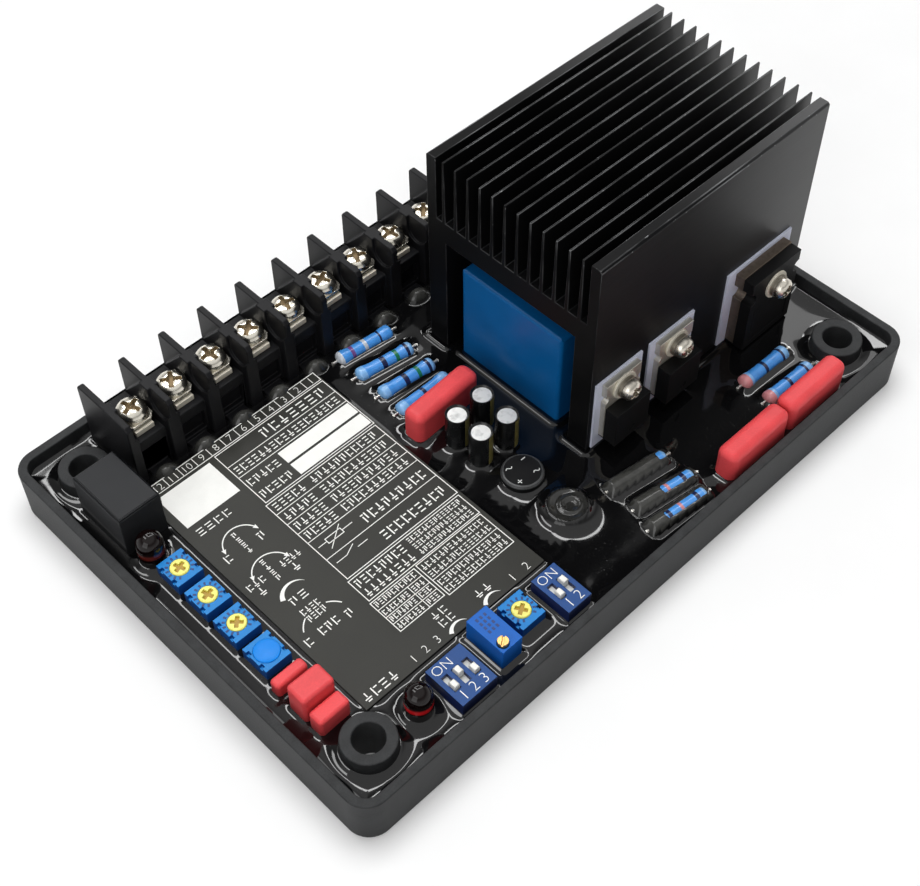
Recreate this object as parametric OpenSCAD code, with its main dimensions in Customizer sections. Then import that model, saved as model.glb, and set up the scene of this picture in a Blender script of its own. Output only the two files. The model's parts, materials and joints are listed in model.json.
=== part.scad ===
// Automatic voltage regulator: a resin-filled tray that carries a finned heatsink,
// a barrier terminal strip, trimmers, switches and the parts of one circuit board.
// Millimetres. Origin at the centre of the tray underside, X along the terminal strip,
// Y towards the terminal strip, Z up.

/* [Tray] */
// outside length along X
tray_l = 157; // [155.5:0.5:160]
// outside width along Y
tray_w = 106.5; // [105.5:0.5:109]
// height of the rim
tray_h = 12; // [11:0.25:13]
// thickness of the side walls
wall_t = 2; // [1.6:0.1:2.2]
// thickness of the floor
floor_t = 2; // [1.6:0.1:2.2]
// outside corner radius
corner_r = 5; // [3.5:0.5:6]
// distance of the mounting holes from the tray ends
hole_in_x = 10.9; // [10.4:0.1:11.4]
// distance of the mounting holes from the tray sides
hole_in_y = 10.95; // [10.55:0.1:11.35]
// diameter of the mounting holes
hole_d = 6.2; // [5.2:0.1:6.6]
// diameter of a boss at its top
boss_d = 10.7; // [9.6:0.1:11]

/* [Board and resin] */
// thickness of the circuit board
board_t = 1.6; // [1:0.1:1.8]
// level of the board's upper face
board_top = 5.5; // [5:0.1:6]
// level of the resin surface
resin_top = 8.2; // [7.6:0.1:8.6]
// thickness of the label plate
label_t = 1; // [0.5:0.1:1.6]

/* [Terminal strip] */
// spacing of the poles
pitch = 10; // [9.5:0.05:10]
// depth of the strip from front to back
strip_d = 14.7; // [14:0.1:15.5]
// level of the deck that the contact plates lie on
deck_z = 17.6; // [16:0.2:18.4]
// level of the barrier tops
barrier_z = 25.5; // [24:0.5:28]
// thickness of a barrier at its thin rear part
barrier_t = 1.5; // [1.2:0.1:1.8]
// radius of a terminal screw head
screw_head_r = 3.25; // [2.7:0.05:3.3]

/* [Heatsink] */
// length of the extrusion along X
sink_l = 66.7; // [62:0.5:67]
// width of the extrusion along Y
sink_w = 45.8; // [45:0.2:47]
// level of the fin tops
sink_top = 59.6; // [56:0.5:64]
// level of the fin roots
root_z = 44; // [42:0.5:46]
// thickness of the web between the legs
web_t = 5.5; // [4.5:0.1:6]
// thickness of a leg
leg_t = 5.2; // [4.4:0.1:5.4]
// thickness of an outer fin
outer_fin_t = 2.6; // [2:0.1:3]
// thickness of an inner fin
fin_t = 1; // [0.8:0.05:1.3]
// number of inner fins
fin_n = 12; // [8:1:12]

/* [Adjusters] */
// side of a square trimmer along Y
trim_w = 6.9; // [6.4:0.1:7.2]
// radius of a trimmer rotor
rotor_r = 1.95; // [1.5:0.05:2.1]
// level of the trimmer tops
trim_top = 11.2; // [10.6:0.1:11.8]
// length of a switch housing along Y
dip_w = 9.9; // [9.4:0.1:10.2]
// level of the switch housing tops
dip_top = 12; // [11.4:0.1:12.6]
// spacing of the switch sliders
dip_pitch = 2.54; // [2.4:0.02:2.6]
// travel of a switch slider
dip_travel = 1.6; // [1.2:0.1:1.8]

/* [Clearances] */
// radial running gap of a rotor in its seat
rotor_gap = 0.06; // [0.03:0.01:0.09]
// side gap of a switch slider in its slot
slider_gap = 0.06; // [0.03:0.01:0.09]
// gap between the board edge and the tray wall
board_gap = 0.6; // [0.4:0.1:1]
// gap of a screw shank in its hole
shank_gap = 0.05; // [0.03:0.01:0.1]
// gap between the label plate and the relay on its left
label_gap_left = 0.3; // [0.2:0.1:2]
// gap between the label plate and the parts on its right
label_gap_right = 2.4; // [1:0.1:6]
// gap between the label plate and the adjusters in front of it
label_gap_front = 1.6; // [0.4:0.1:4]
// gap between the label plate and the terminal strip
label_gap_rear = 1.5; // [0.4:0.1:6]
// least room beside each end of the terminal strip
strip_room = 15; // [14.5:0.1:15.4]

/* [Hidden] */
$fn = 48;
inner_x = tray_l / 2 - wall_t;
inner_y = tray_w / 2 - wall_t;
boss_top = tray_h;
boss_foot_d = boss_d + 1.5;
board_bot = board_top - board_t;

// sum of the first n values of a list
function sum_to(v, n) = n <= 0 ? 0 : v[n - 1] + sum_to(v, n - 1);

hole_dx = tray_l - 2 * hole_in_x;
hole_dy = tray_w - 2 * hole_in_y;

// board parts: length along X, width along Y and level of the top
relay_l = 9.8;
relay_w = 15.2;
relay_top = 19.6;
relay_off = 0.35;
led_r = 2.5;
led_collar_r = 2.9;
led_collar_h = 3.4;
led_h = 8.6;
film_l = 18.2;
film_w = 5;
film_top = 16.2;
film_r = 1.4;
film_edge = 1.2;
small_film_r = 0.9;
small_film_edge = 0.8;
film_a = [7.4, 2.6, 11.8];
film_b = [7.4, 5, 15.6];
film_c = [7.2, 3.5, 13];
trim_l = trim_w - 0.8;

// left column: pieces between the two left bosses, and the share of the spare room before each
left_x = -inner_x + 7.75;
left_room = hole_dy - boss_foot_d;
left_sizes = [relay_w, 2 * led_collar_r, trim_w, trim_w, trim_w, trim_w, film_a[1], film_b[1], film_c[1]];
left_shares = [0, 0.087, 0.035, 0.136, 0.136, 0.136, 0.139, 0.189, 0.043];
left_spare = left_room - sum_to(left_sizes, len(left_sizes));
function left_y(k) = left_room / 2 - sum_to(left_sizes, k) - left_sizes[k] / 2
  - left_spare * sum_to(left_shares, k + 1);

// front row: adjusters to the right of the left boss, and the gap before each
front_y = -inner_y + 6.65;
dip_end = 1.15;
multi_l = 5.1;
multi_w = 9.6;
multi_top = 14.4;
multi_screw = [-0.95, -3.2];
multi_screw_r = 1.1;
multi_seat = 1;
function dip_l(n) = n * dip_pitch + dip_end;
row_x0 = -hole_dx / 2 + boss_foot_d / 2;
row_sizes = [2 * led_collar_r, dip_l(3), multi_l, trim_l, dip_l(2)];
row_gaps = [2.3, 2, 3, 2.45, 2.35];
function row_x(k) = row_x0 + sum_to(row_sizes, k) + row_sizes[k] / 2 + sum_to(row_gaps, k + 1);
led_left_at = [left_x - 1.5, left_y(1)];
led_front_at = [row_x(0), front_y + 1.4];
dip_three = [row_x(1), front_y];
multi_at = [row_x(2), front_y + 1.5];
trim_front = [row_x(3), front_y + 2.3];
dip_two = [row_x(4), front_y + 0.1];
knob_w = 1.35;
knob_l = 1.7;
knob_h = 0.9;
knob_cap = 0.25;
knob_bevel = 0.12;
slot_d = 1;
slot_spare = 0.5;
rotor_seat = 0.8;
rotor_h = 0.75;
rotor_bevel = 0.2;
rotor_slot = [2.6, 0.85, 0.5];
seal_r = 2.6;
notch = [0.65, 0.9, 0.9];
notch_y = 1.9;

// terminal strip
poles = floor((2 * inner_x - 2 * strip_room) / pitch);
strip_x = -0.4;
strip_rear = inner_y - 1.55;
strip_front = strip_rear - strip_d;
strip_l = poles * pitch + 2 * barrier_t / 2;
ledge_y = strip_rear - 1.3;
cheek_t = min(barrier_t + 1.5, pitch - 2 * screw_head_r - 0.4);
cheek_out = 1.8;
cheek_front = strip_front - cheek_out;
pocket_r = 2.9;
pocket_y = strip_front + 0.9;
pocket_z = barrier_z - pocket_r;
pole_y = strip_front + 5.4;
plate_w = 4.4;
plate_t = 1.3;
plate_front = pole_y - 3.9;
plate_rear = pole_y + 3.2;
clamp_w = pitch - cheek_t - 0.4;
clamp_d = 6.8;
clamp_cut = 1.1;
clamp_z = deck_z + plate_t + 0.6;
clamp_t = 0.6;
clamp_lip = 0.5;
lip_t = 0.7;
strip_shank_r = 1.6;
strip_shank = 6;
strip_head_h = 2.3;
strip_tab_l = 2.2;
strip_tab_w = 5;
strip_tab_h = 0.6;
relief_d = 1.2;
relief_w = pitch - cheek_t - 1.2;

// heatsink
sink_x1 = inner_x - 0.6;
sink_x0 = sink_x1 - sink_l;
sink_y = -0.7;
sink_y0 = sink_y - sink_w / 2;
sink_y1 = sink_y + sink_w / 2;
web_bot = root_z - web_t;
fin_pitch = (sink_w - outer_fin_t) / (fin_n + 1);

// transistors on the heatsink side
pad_t = 0.5;
face_y = sink_y0 - pad_t;
to_a = sink_x0 + 7.8;
to_b = sink_x0 + 23.6;
to_c = sink_x1 - 15.5;
small_hole_z = 24.2;
large_hole_z = 23.8;
small_pad_w = 13.6;
small_pad_up = 3.4;
large_pad_w = 20.8;
large_pad_up = 5.8;
small_tab_w = 10.2;
small_tab_t = 1.3;
small_tab_up = 2.8;
small_tab_down = 12.4;
small_body_w = 10;
small_t = 4.5;
small_body_up = -3.6;
small_body_down = 12.8;
small_leg_w = 1;
small_leg_pitch = 2.54;
leg_thick = 0.6;
leg_off = 2.3;
large_w = 15.6;
large_t = 4.8;
large_tab_t = 2.2;
large_tab_up = 4.9;
large_tab_down = 14.6;
large_up = 4.6;
large_down = 15;
large_leg_w = 1.2;
large_leg_pitch = 5.45;
large_notch_r = 1.6;
small_notch_r = 0.8;
sink_screw_r = 1.45;
tab_gap = 0.25;
washer_gap = 0.1;
washer_r = 3.2;
washer_t = 0.5;
spring_r = 2.5;
spring_t = 0.9;
spring_cut = 0.5;
sink_head_r = 2.3;
sink_head_h = 2;
sink_slot = [3, 0.8, 1.1];
edge_wear = 0.35;

// box capacitor in the tunnel
box_l = 14;
box_w = 28;
box_top = 32.8;
box_x = sink_x0 + 1.3;
box_r = 0.8;

// label plate: fills the field between the columns, the front row and the terminal strip
mid_x = sink_x0 - 13.5;
label_x = left_x + relay_off + relay_l / 2 + label_gap_left;
label_l = mid_x - 1 - film_l / 2 - label_gap_right - label_x;
label_y = multi_at[1] + multi_w / 2 + label_gap_front;
label_w = strip_front - strip_tab_l - label_gap_rear - label_y;
label_base = resin_top - 0.2;

// middle column, from the terminal strip to the front, and the group in the right front corner
res_l = 14.4;
res_r = 1.75;
res_waist = 0.25;
res_cap_l = 2.5;
res_end = 0.5;
res_neck = 0.4;
res_z = resin_top + 0.45;
lead_r = 0.35;
lead_l = 1.1;
res_rear = [
  [mid_x + 0.3, strip_front - 5.7, -6],
  [mid_x + 0.2, strip_front - 12.3, -8],
  [mid_x + 0.3, strip_front - 19.1, -5],
  [mid_x - 0.1, strip_front - 24.6, 0]
];
film_rear_at = [mid_x - 1, strip_front - 31.1];
film_rear_turn = 3;
film_rear_w = 5.2;
can_r = 2.5;
can_top = 17.2;
can_wall = 0.5;
can_lip = 0.15;
can_foot = 1;
can_at = [
  [mid_x - 3.6, strip_front - 38.5],
  [mid_x - 3.4, strip_front - 45.1],
  [mid_x + 3.4, strip_front - 45.7],
  [mid_x + 3.7, strip_front - 38.3]
];
round_r = 4.5;
round_bevel = 0.4;
bridge_at = [mid_x - 0.6, strip_front - 54.2];
bridge_h = 4.9;
coated_at = [mid_x, strip_front - 66];
coated_h = 3.6;
film_right = [film_l, film_w, film_top];
film_right_y = -inner_y + 3.7;
film_right_b_x = inner_x - 25.4;
film_right_a_x = film_right_b_x - film_l - 0.5;
res_right = [
  [inner_x - 24.3, front_y + 9.4, -1.5],
  [inner_x - 24, front_y + 3, -2]
];
res_front = [
  [inner_x - 64.3, front_y + 9.5, -8],
  [inner_x - 64, front_y + 2.6, -9],
  [inner_x - 65.6, front_y - 2.4, -7]
];

module rounded_block(l, w, h, r, facets = 64) {
  translate([-l / 2 + r, -w / 2, 0]) cube([l - 2 * r, w, h]);
  translate([-l / 2, -w / 2 + r, 0]) cube([l, w - 2 * r, h]);
  for (sx = [-1, 1], sy = [-1, 1])
    translate([sx * (l / 2 - r), sy * (w / 2 - r), 0]) cylinder(r = r, h = h, $fn = facets);
}

module box_at(x0, x1, y0, y1, z0, z1) {
  translate([x0, y0, z0]) cube([x1 - x0, y1 - y0, z1 - z0]);
}

module at_holes() {
  for (sx = [-1, 1], sy = [-1, 1])
    translate([sx * hole_dx / 2, sy * hole_dy / 2, 0]) children();
}

module boss_cone() {
  translate([0, 0, floor_t]) cylinder(d1 = boss_foot_d, d2 = boss_d, h = boss_top - floor_t, $fn = 64);
}

// moulded tray with four through-hole bosses
module tray() {
  color([0.09, 0.09, 0.095])
  difference() {
    union() {
      difference() {
        rounded_block(tray_l, tray_w, tray_h, corner_r);
        translate([0, 0, floor_t])
          rounded_block(2 * inner_x, 2 * inner_y, tray_h, corner_r - wall_t);
      }
      at_holes() boss_cone();
      at_holes() cylinder(d = boss_foot_d, h = floor_t, $fn = 64);
    }
    at_holes() translate([0, 0, -1]) cylinder(d = hole_d, h = boss_top + 2, $fn = 64);
  }
}

module circuit_board() {
  color([0.1, 0.3, 0.16])
  difference() {
    box_at(-inner_x + board_gap, inner_x - board_gap, -inner_y + board_gap, inner_y - board_gap,
      board_bot, board_top);
    at_holes() translate([0, 0, board_bot - 1]) cylinder(d = boss_foot_d + 1, h = board_t + 2);
    // corner reliefs that clear the rounded tray corners
    for (sx = [-1, 1], sy = [-1, 1])
      translate([sx * (inner_x - board_gap), sy * (inner_y - board_gap), board_bot - 1])
        cylinder(r = corner_r, h = board_t + 2);
  }
}

// casting resin, with a pocket for each part that stands in it
module potting() {
  color([0.03, 0.03, 0.035])
  difference() {
    translate([0, 0, floor_t])
      rounded_block(2 * inner_x, 2 * inner_y, resin_top - floor_t, corner_r - wall_t);
    at_holes() boss_cone();
    circuit_board();
    sink_legs();
    strip_foot();
    box_capacitor();
    relay();
    led(led_left_at);
    led(led_front_at);
    for (i = [0:3]) trimmer_block(trim_at(i), board_top, resin_top + 1);
    trimmer_block(trim_front, board_top, resin_top + 1);
    dip_block(dip_three, 3, board_top, resin_top + 1);
    dip_block(dip_two, 2, board_top, resin_top + 1);
    multiturn_block(board_top, resin_top + 1);
    film_capacitor_rear();
    film_capacitor_right_a();
    film_capacitor_right_b();
    film_capacitor_left_a();
    film_capacitor_left_b();
    film_capacitor_left_c();
    for (p = can_at) can_block(p, board_top, resin_top + 1);
    bridge_rectifier();
    coated_rectifier();
    resistors_rear();
    resistors_right();
    resistors_front();
    resistor_leads();
    insulator_pad_a();
    insulator_pad_b();
    insulator_pad_c();
    transistor_c_legs();
    transistor_legs(to_a);
    transistor_legs(to_b);
    box_at(label_x, label_x + label_l, label_y, label_y + label_w, label_base, resin_top + 1);
  }
}

module label_plate() {
  color([0.2, 0.2, 0.2])
    box_at(label_x, label_x + label_l, label_y, label_y + label_w, label_base, label_base + label_t);
}

// barrier terminal strip: deck, thin barriers, thick cheeks with a rounded pocket on each inner side
function pole_x(i) = strip_x + (i - (poles - 1) / 2) * pitch;
function barrier_x(i) = strip_x + (i - poles / 2) * pitch;

// a cheek is thick towards a pole and thin towards the strip's ends
function cheek_x0(i) = barrier_x(i) - (i == 0 ? barrier_t : cheek_t) / 2;
function cheek_x1(i) = barrier_x(i) + (i == poles ? barrier_t : cheek_t) / 2;

module strip_foot() {
  box_at(strip_x - strip_l / 2, strip_x + strip_l / 2, strip_front, strip_rear, board_top, resin_top);
  for (i = [0:poles])
    box_at(cheek_x0(i), cheek_x1(i), cheek_front, strip_front, board_top, resin_top);
  strip_tabs(resin_top);
}

module strip_tabs(top) {
  for (i = [0:poles - 1])
    box_at(pole_x(i) - strip_tab_w / 2, pole_x(i) + strip_tab_w / 2, strip_front - strip_tab_l, strip_front,
      board_top, top);
}

// side view of a cheek: low at the wire side, full height at the driver side
module cheek_profile() {
  polygon([
    [cheek_front, resin_top],
    [strip_rear, resin_top],
    [strip_rear, deck_z - 1.6],
    [strip_front + 6.6, barrier_z],
    [cheek_front + 0.8, barrier_z],
    [cheek_front, barrier_z - 0.8]
  ]);
}

module barrier_profile() {
  polygon([
    [cheek_front, resin_top],
    [strip_rear, resin_top],
    [strip_rear, barrier_z - 0.5],
    [strip_rear - 0.5, barrier_z],
    [cheek_front + 0.8, barrier_z],
    [cheek_front, barrier_z - 0.8]
  ]);
}

module side_plate(x0, x1) {
  translate([x1, 0, 0]) rotate([90, 0, -90]) mirror([1, 0, 0])
    linear_extrude(height = x1 - x0) children();
}

// round-bottomed pockets that thin the two cheeks beside a pole, open at the top and the front
module cheek_pockets(x) {
  reach = (pitch - barrier_t) / 2;
  translate([x - reach, pocket_y, pocket_z]) rotate([0, 90, 0])
    cylinder(r = pocket_r, h = 2 * reach, $fn = 40);
  box_at(x - reach, x + reach, pocket_y - pocket_r, pocket_y + pocket_r, pocket_z, barrier_z + 1);
}

module terminal_block() {
  color([0.08, 0.08, 0.085])
  difference() {
    union() {
      strip_foot();
      strip_tabs(resin_top + strip_tab_h);
      box_at(strip_x - strip_l / 2, strip_x + strip_l / 2, strip_front, ledge_y, resin_top, deck_z);
      for (i = [0:poles]) {
        side_plate(barrier_x(i) - barrier_t / 2, barrier_x(i) + barrier_t / 2) barrier_profile();
        side_plate(cheek_x0(i), cheek_x1(i)) cheek_profile();
      }
    }
    for (i = [0:poles - 1]) {
      cheek_pockets(pole_x(i));
      translate([pole_x(i), pole_y, deck_z - strip_shank - 1])
        cylinder(r = strip_shank_r + shank_gap, h = strip_shank + 2);
      // moulding relief below each contact plate
      translate([pole_x(i), strip_front, 0])
        box_at(-relief_w / 2, relief_w / 2, 0, relief_d, resin_top + 1.4, deck_z - 3);
    }
  }
}

// contact plates, one for each pole
module terminal_plates() {
  color([0.8, 0.79, 0.75])
  for (i = [0:poles - 1])
    difference() {
      box_at(pole_x(i) - plate_w / 2, pole_x(i) + plate_w / 2, plate_front, plate_rear,
        deck_z, deck_z + plate_t);
      translate([pole_x(i), pole_y, deck_z - 1]) cylinder(r = strip_shank_r + shank_gap, h = 4);
    }
}

// wire clamps held captive under the screw heads, with two cut corners at the front
module clamp_outline() {
  polygon([
    [-clamp_w / 2, clamp_d / 2],
    [-clamp_w / 2, clamp_cut - clamp_d / 2],
    [clamp_cut - clamp_w / 2, -clamp_d / 2],
    [clamp_w / 2 - clamp_cut, -clamp_d / 2],
    [clamp_w / 2, clamp_cut - clamp_d / 2],
    [clamp_w / 2, clamp_d / 2]
  ]);
}

module terminal_clamps() {
  color([0.82, 0.81, 0.77])
  for (i = [0:poles - 1])
    translate([pole_x(i), pole_y, clamp_z])
      difference() {
        union() {
          linear_extrude(height = clamp_t) clamp_outline();
          // turned-down side that grips the wire
          translate([-clamp_w / 2, clamp_d / 2 - lip_t, -clamp_lip]) cube([clamp_w, lip_t, clamp_lip]);
        }
        translate([0, 0, -2]) cylinder(r = strip_shank_r + shank_gap, h = 5);
      }
}

module cross_slot(len, wid, dep) {
  translate([-len / 2, -wid / 2, -dep]) cube([len, wid, dep + 1]);
  translate([-wid / 2, -len / 2, -dep]) cube([wid, len, dep + 1]);
  translate([0, 0, -dep]) cylinder(r1 = wid * 0.6, r2 = wid * 1.05, h = dep + 0.01, $fn = 24);
}

module pan_head(r, h) {
  cylinder(r = r, h = h * 0.5);
  translate([0, 0, h * 0.5]) cylinder(r1 = r, r2 = r * 0.86, h = h * 0.3);
  translate([0, 0, h * 0.8]) cylinder(r1 = r * 0.86, r2 = r * 0.6, h = h * 0.2);
}

module terminal_screws() {
  color([0.85, 0.84, 0.8])
  for (i = [0:poles - 1])
    translate([pole_x(i), pole_y, clamp_z + clamp_t])
      difference() {
        union() {
          pan_head(screw_head_r, strip_head_h);
          translate([0, 0, deck_z - strip_shank - clamp_z - clamp_t])
            cylinder(r = strip_shank_r, h = strip_shank + clamp_z + clamp_t - deck_z);
        }
        translate([0, 0, strip_head_h]) rotate(20 + 37 * i) cross_slot(screw_head_r * 1.35, 0.95, 1.2);
      }
}

// extruded heatsink: two legs, a web, two outer fins and the inner fins
module sink_legs() {
  box_at(sink_x0, sink_x1, sink_y0, sink_y0 + leg_t, board_top, web_bot);
  box_at(sink_x0, sink_x1, sink_y1 - leg_t, sink_y1, board_top, web_bot);
}

module heatsink() {
  color([0.06, 0.06, 0.065])
  difference() {
    union() {
      sink_legs();
      box_at(sink_x0, sink_x1, sink_y0, sink_y1, web_bot, root_z);
      box_at(sink_x0, sink_x1, sink_y0, sink_y0 + outer_fin_t, root_z, sink_top);
      box_at(sink_x0, sink_x1, sink_y1 - outer_fin_t, sink_y1, root_z, sink_top);
      for (i = [1:fin_n])
        translate([sink_x0, sink_y0 + outer_fin_t / 2 + i * fin_pitch - fin_t / 2, root_z])
          cube([sink_l, fin_t, sink_top - root_z]);
    }
    for (p = [[to_a, small_hole_z], [to_b, small_hole_z], [to_c, large_hole_z]])
      translate([p[0], sink_y0 - 1, p[1]]) rotate([-90, 0, 0])
        cylinder(r = sink_screw_r + shank_gap, h = leg_t + 2);
    // worn-in chamfers along the outer top edges
    for (s = [0, 1])
      translate([sink_x0 - 1, s == 0 ? sink_y0 : sink_y1, sink_top]) rotate([45, 0, 0])
        translate([0, -edge_wear, -edge_wear]) cube([sink_l + 2, 2 * edge_wear, 2 * edge_wear]);
  }
}

module pad_at(x, w, up, hole_z) {
  difference() {
    box_at(x - w / 2, x + w / 2, face_y, sink_y0, board_top + pad_t, hole_z + up);
    translate([x, face_y - 1, hole_z]) rotate([-90, 0, 0]) cylinder(r = sink_screw_r + 0.2, h = 3);
  }
}

module insulator_pad_a() { color([0.84, 0.86, 0.92]) pad_at(to_a, small_pad_w, small_pad_up, small_hole_z); }
module insulator_pad_b() { color([0.84, 0.86, 0.92]) pad_at(to_b, small_pad_w, small_pad_up, small_hole_z); }
module insulator_pad_c() { color([0.84, 0.86, 0.92]) pad_at(to_c, large_pad_w, large_pad_up, large_hole_z); }

// small power transistor: metal tab with a moulded body in front of it
module small_tab_block(x, back) {
  box_at(x - small_tab_w / 2, x + small_tab_w / 2, face_y - small_tab_t, face_y + back,
    small_hole_z - small_tab_down, small_hole_z + small_tab_up);
}

module small_tab(x) {
  difference() {
    small_tab_block(x, 0);
    translate([x, face_y - 3, small_hole_z]) rotate([-90, 0, 0])
      cylinder(r = sink_screw_r + tab_gap, h = 5);
    for (s = [-1, 1])
      translate([x + s * small_tab_w / 2, face_y - 3, small_hole_z - 1.3]) rotate([-90, 0, 0])
        cylinder(r = small_notch_r, h = 5);
  }
}

module small_body(x) {
  top = small_hole_z + small_body_up;
  low = small_hole_z - small_body_down;
  front = face_y - small_t;
  difference() {
    box_at(x - small_body_w / 2, x + small_body_w / 2, front, face_y, low, top);
    small_tab_block(x, 1);
    // sloped upper front edge
    translate([x - small_body_w, front, top]) rotate([-30, 0, 0]) translate([0, -3, -0.9])
      cube([2 * small_body_w, 3, 3]);
    translate([x, front - 0.1, low + 2.2]) rotate([-90, 0, 0]) cylinder(r = 0.9, h = 0.3);
  }
  transistor_legs(x);
}

module transistor_legs(x) {
  for (s = [-1, 0, 1])
    translate([x + s * small_leg_pitch, 0, 0])
      box_at(-small_leg_w / 2, small_leg_w / 2, face_y - leg_off - leg_thick, face_y - leg_off, board_top,
        small_hole_z - small_body_down);
}

module transistor_a_tab() { color([0.8, 0.79, 0.76]) small_tab(to_a); }
module transistor_a_body() { color([0.07, 0.07, 0.075]) small_body(to_a); }
module transistor_b_tab() { color([0.8, 0.79, 0.76]) small_tab(to_b); }
module transistor_b_body() { color([0.07, 0.07, 0.075]) small_body(to_b); }

// large power transistor: full moulded body over a metal back plate
module large_notches(depth) {
  for (s = [-1, 1])
    translate([to_c + s * large_w / 2, face_y - depth - 1, large_hole_z]) rotate([-90, 0, 0])
      cylinder(r = large_notch_r, h = depth + 2);
}

module large_bore(depth) {
  translate([to_c, face_y - depth - 1, large_hole_z]) rotate([-90, 0, 0])
    cylinder(r = sink_screw_r + tab_gap, h = depth + 2);
}

module transistor_c_tab() {
  color([0.75, 0.72, 0.68])
  difference() {
    box_at(to_c - large_w / 2, to_c + large_w / 2, face_y - large_tab_t, face_y,
      large_hole_z - large_tab_down, large_hole_z + large_tab_up);
    large_bore(large_tab_t);
    large_notches(large_tab_t);
  }
}

module transistor_c_legs() {
  for (s = [-1, 0, 1])
    translate([to_c + s * large_leg_pitch, 0, 0])
      box_at(-large_leg_w / 2, large_leg_w / 2, face_y - leg_off - leg_thick, face_y - leg_off, board_top,
        large_hole_z - large_down);
}

module transistor_c_body() {
  top = large_hole_z + large_up;
  low = large_hole_z - large_down;
  front = face_y - large_t;
  color([0.07, 0.07, 0.075]) {
    difference() {
      box_at(to_c - large_w / 2, to_c + large_w / 2, front, face_y - large_tab_t, low, top);
      large_bore(large_t);
      large_notches(large_t);
      // sloped upper front edge and a shallow panel on the front face
      translate([to_c - large_w, front, top]) rotate([-25, 0, 0]) translate([0, -3, -1.2])
        cube([2 * large_w, 3, 4]);
      box_at(to_c - 6, to_c + 6, front - 1, front + 0.15, low + 1.6, large_hole_z - 4.4);
    }
    box_at(to_c - large_w / 2, to_c + large_w / 2, face_y - large_tab_t, face_y, low,
      large_hole_z - large_tab_down);
    transistor_c_legs();
  }
}

// screw stacks of the three transistors, drawn along -Y
function stack_at(i) = i == 0 ? [to_a, face_y - small_tab_t, small_hole_z]
  : i == 1 ? [to_b, face_y - small_tab_t, small_hole_z]
  : [to_c, face_y - large_t, large_hole_z];

module at_stacks() {
  for (i = [0:2]) translate(stack_at(i)) rotate([90, 0, 0]) children();
}

module transistor_flat_washers() {
  color([0.8, 0.8, 0.78]) at_stacks()
  difference() {
    cylinder(r = washer_r, h = washer_t);
    translate([0, 0, -1]) cylinder(r = sink_screw_r + washer_gap, h = washer_t + 2);
  }
}

module transistor_spring_washers() {
  color([0.72, 0.72, 0.7]) at_stacks() translate([0, 0, washer_t])
  difference() {
    cylinder(r = spring_r, h = spring_t);
    translate([0, 0, -1]) cylinder(r = sink_screw_r + washer_gap, h = spring_t + 2);
    translate([0, -spring_cut / 2, -1]) cube([spring_r + 1, spring_cut, spring_t + 2]);
  }
}

module transistor_screws() {
  stack = washer_t + spring_t;
  color([0.8, 0.8, 0.78])
  for (i = [0:2]) {
    shank = stack + sink_y0 - stack_at(i)[1] + leg_t - 0.5;
    translate(stack_at(i)) rotate([90, 0, 0]) translate([0, 0, stack])
      difference() {
        union() {
          pan_head(sink_head_r, sink_head_h);
          translate([0, 0, -shank]) cylinder(r = sink_screw_r, h = shank);
        }
        translate([0, 0, sink_head_h]) rotate(15 + 30 * i)
          cross_slot(sink_slot[0], sink_slot[1], sink_slot[2]);
      }
  }
}

// block with its two upper edges along Y rounded
module arched_block(l, w, h, r) {
  box_at(r - l / 2, l / 2 - r, -w / 2, w / 2, 0, h);
  box_at(-l / 2, l / 2, -w / 2, w / 2, 0, h - r);
  for (s = [-1, 1])
    translate([s * (l / 2 - r), w / 2, h - r]) rotate([90, 0, 0]) cylinder(r = r, h = w, $fn = 32);
}

// box-shaped film capacitor: upright edges of radius r, upper edges of radius edge
module film_box(l, w, top, r, edge) {
  h = top - board_top;
  translate([0, 0, board_top]) intersection() {
    rounded_block(l, w, h, r, 32);
    arched_block(l, w + 2, h, edge);
    rotate(90) arched_block(w, l + 2, h, edge);
  }
}

module red_box(at, size, r, edge) {
  color([0.8, 0.16, 0.17]) translate([at[0], at[1], 0]) film_box(size[0], size[1], size[2], r, edge);
}

module box_capacitor() {
  color([0.1, 0.42, 0.66])
    translate([box_x + box_l / 2, sink_y + 0.6, 0]) film_box(box_l, box_w, box_top, box_r, box_r);
}

module film_capacitor_rear() {
  translate([film_rear_at[0], film_rear_at[1], 0]) rotate(film_rear_turn)
    red_box([0, 0], [film_l, film_rear_w, film_top], film_r, film_edge);
}

module film_capacitor_right_a() { red_box([film_right_a_x, film_right_y], film_right, film_r, film_edge); }
module film_capacitor_right_b() { red_box([film_right_b_x, film_right_y], film_right, film_r, film_edge); }
module film_capacitor_left_a() { red_box([left_x - 0.2, left_y(6)], film_a, small_film_r, small_film_edge); }
module film_capacitor_left_b() { red_box([left_x, left_y(7)], film_b, small_film_r, small_film_edge); }
module film_capacitor_left_c() { red_box([left_x, left_y(8)], film_c, small_film_r, small_film_edge); }

// axial resistors lying half in the resin
module resistor_body() {
  waist_r = res_r - res_waist;
  cap_z = res_l / 2 - res_end - res_cap_l;
  rotate([0, 90, 0]) {
    translate([0, 0, -cap_z + res_neck]) cylinder(r = waist_r, h = 2 * (cap_z - res_neck), $fn = 32);
    for (m = [0, 1]) mirror([0, 0, m]) {
      translate([0, 0, cap_z]) cylinder(r = res_r, h = res_cap_l, $fn = 32);
      translate([0, 0, cap_z - res_neck]) cylinder(r1 = waist_r, r2 = res_r, h = res_neck, $fn = 32);
      translate([0, 0, res_l / 2 - res_end])
        cylinder(r1 = res_r, r2 = res_r - res_end, h = res_end, $fn = 32);
    }
  }
}

module place_resistor(p) {
  translate([p[0], p[1], res_z]) rotate(p[2]) children();
}

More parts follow.
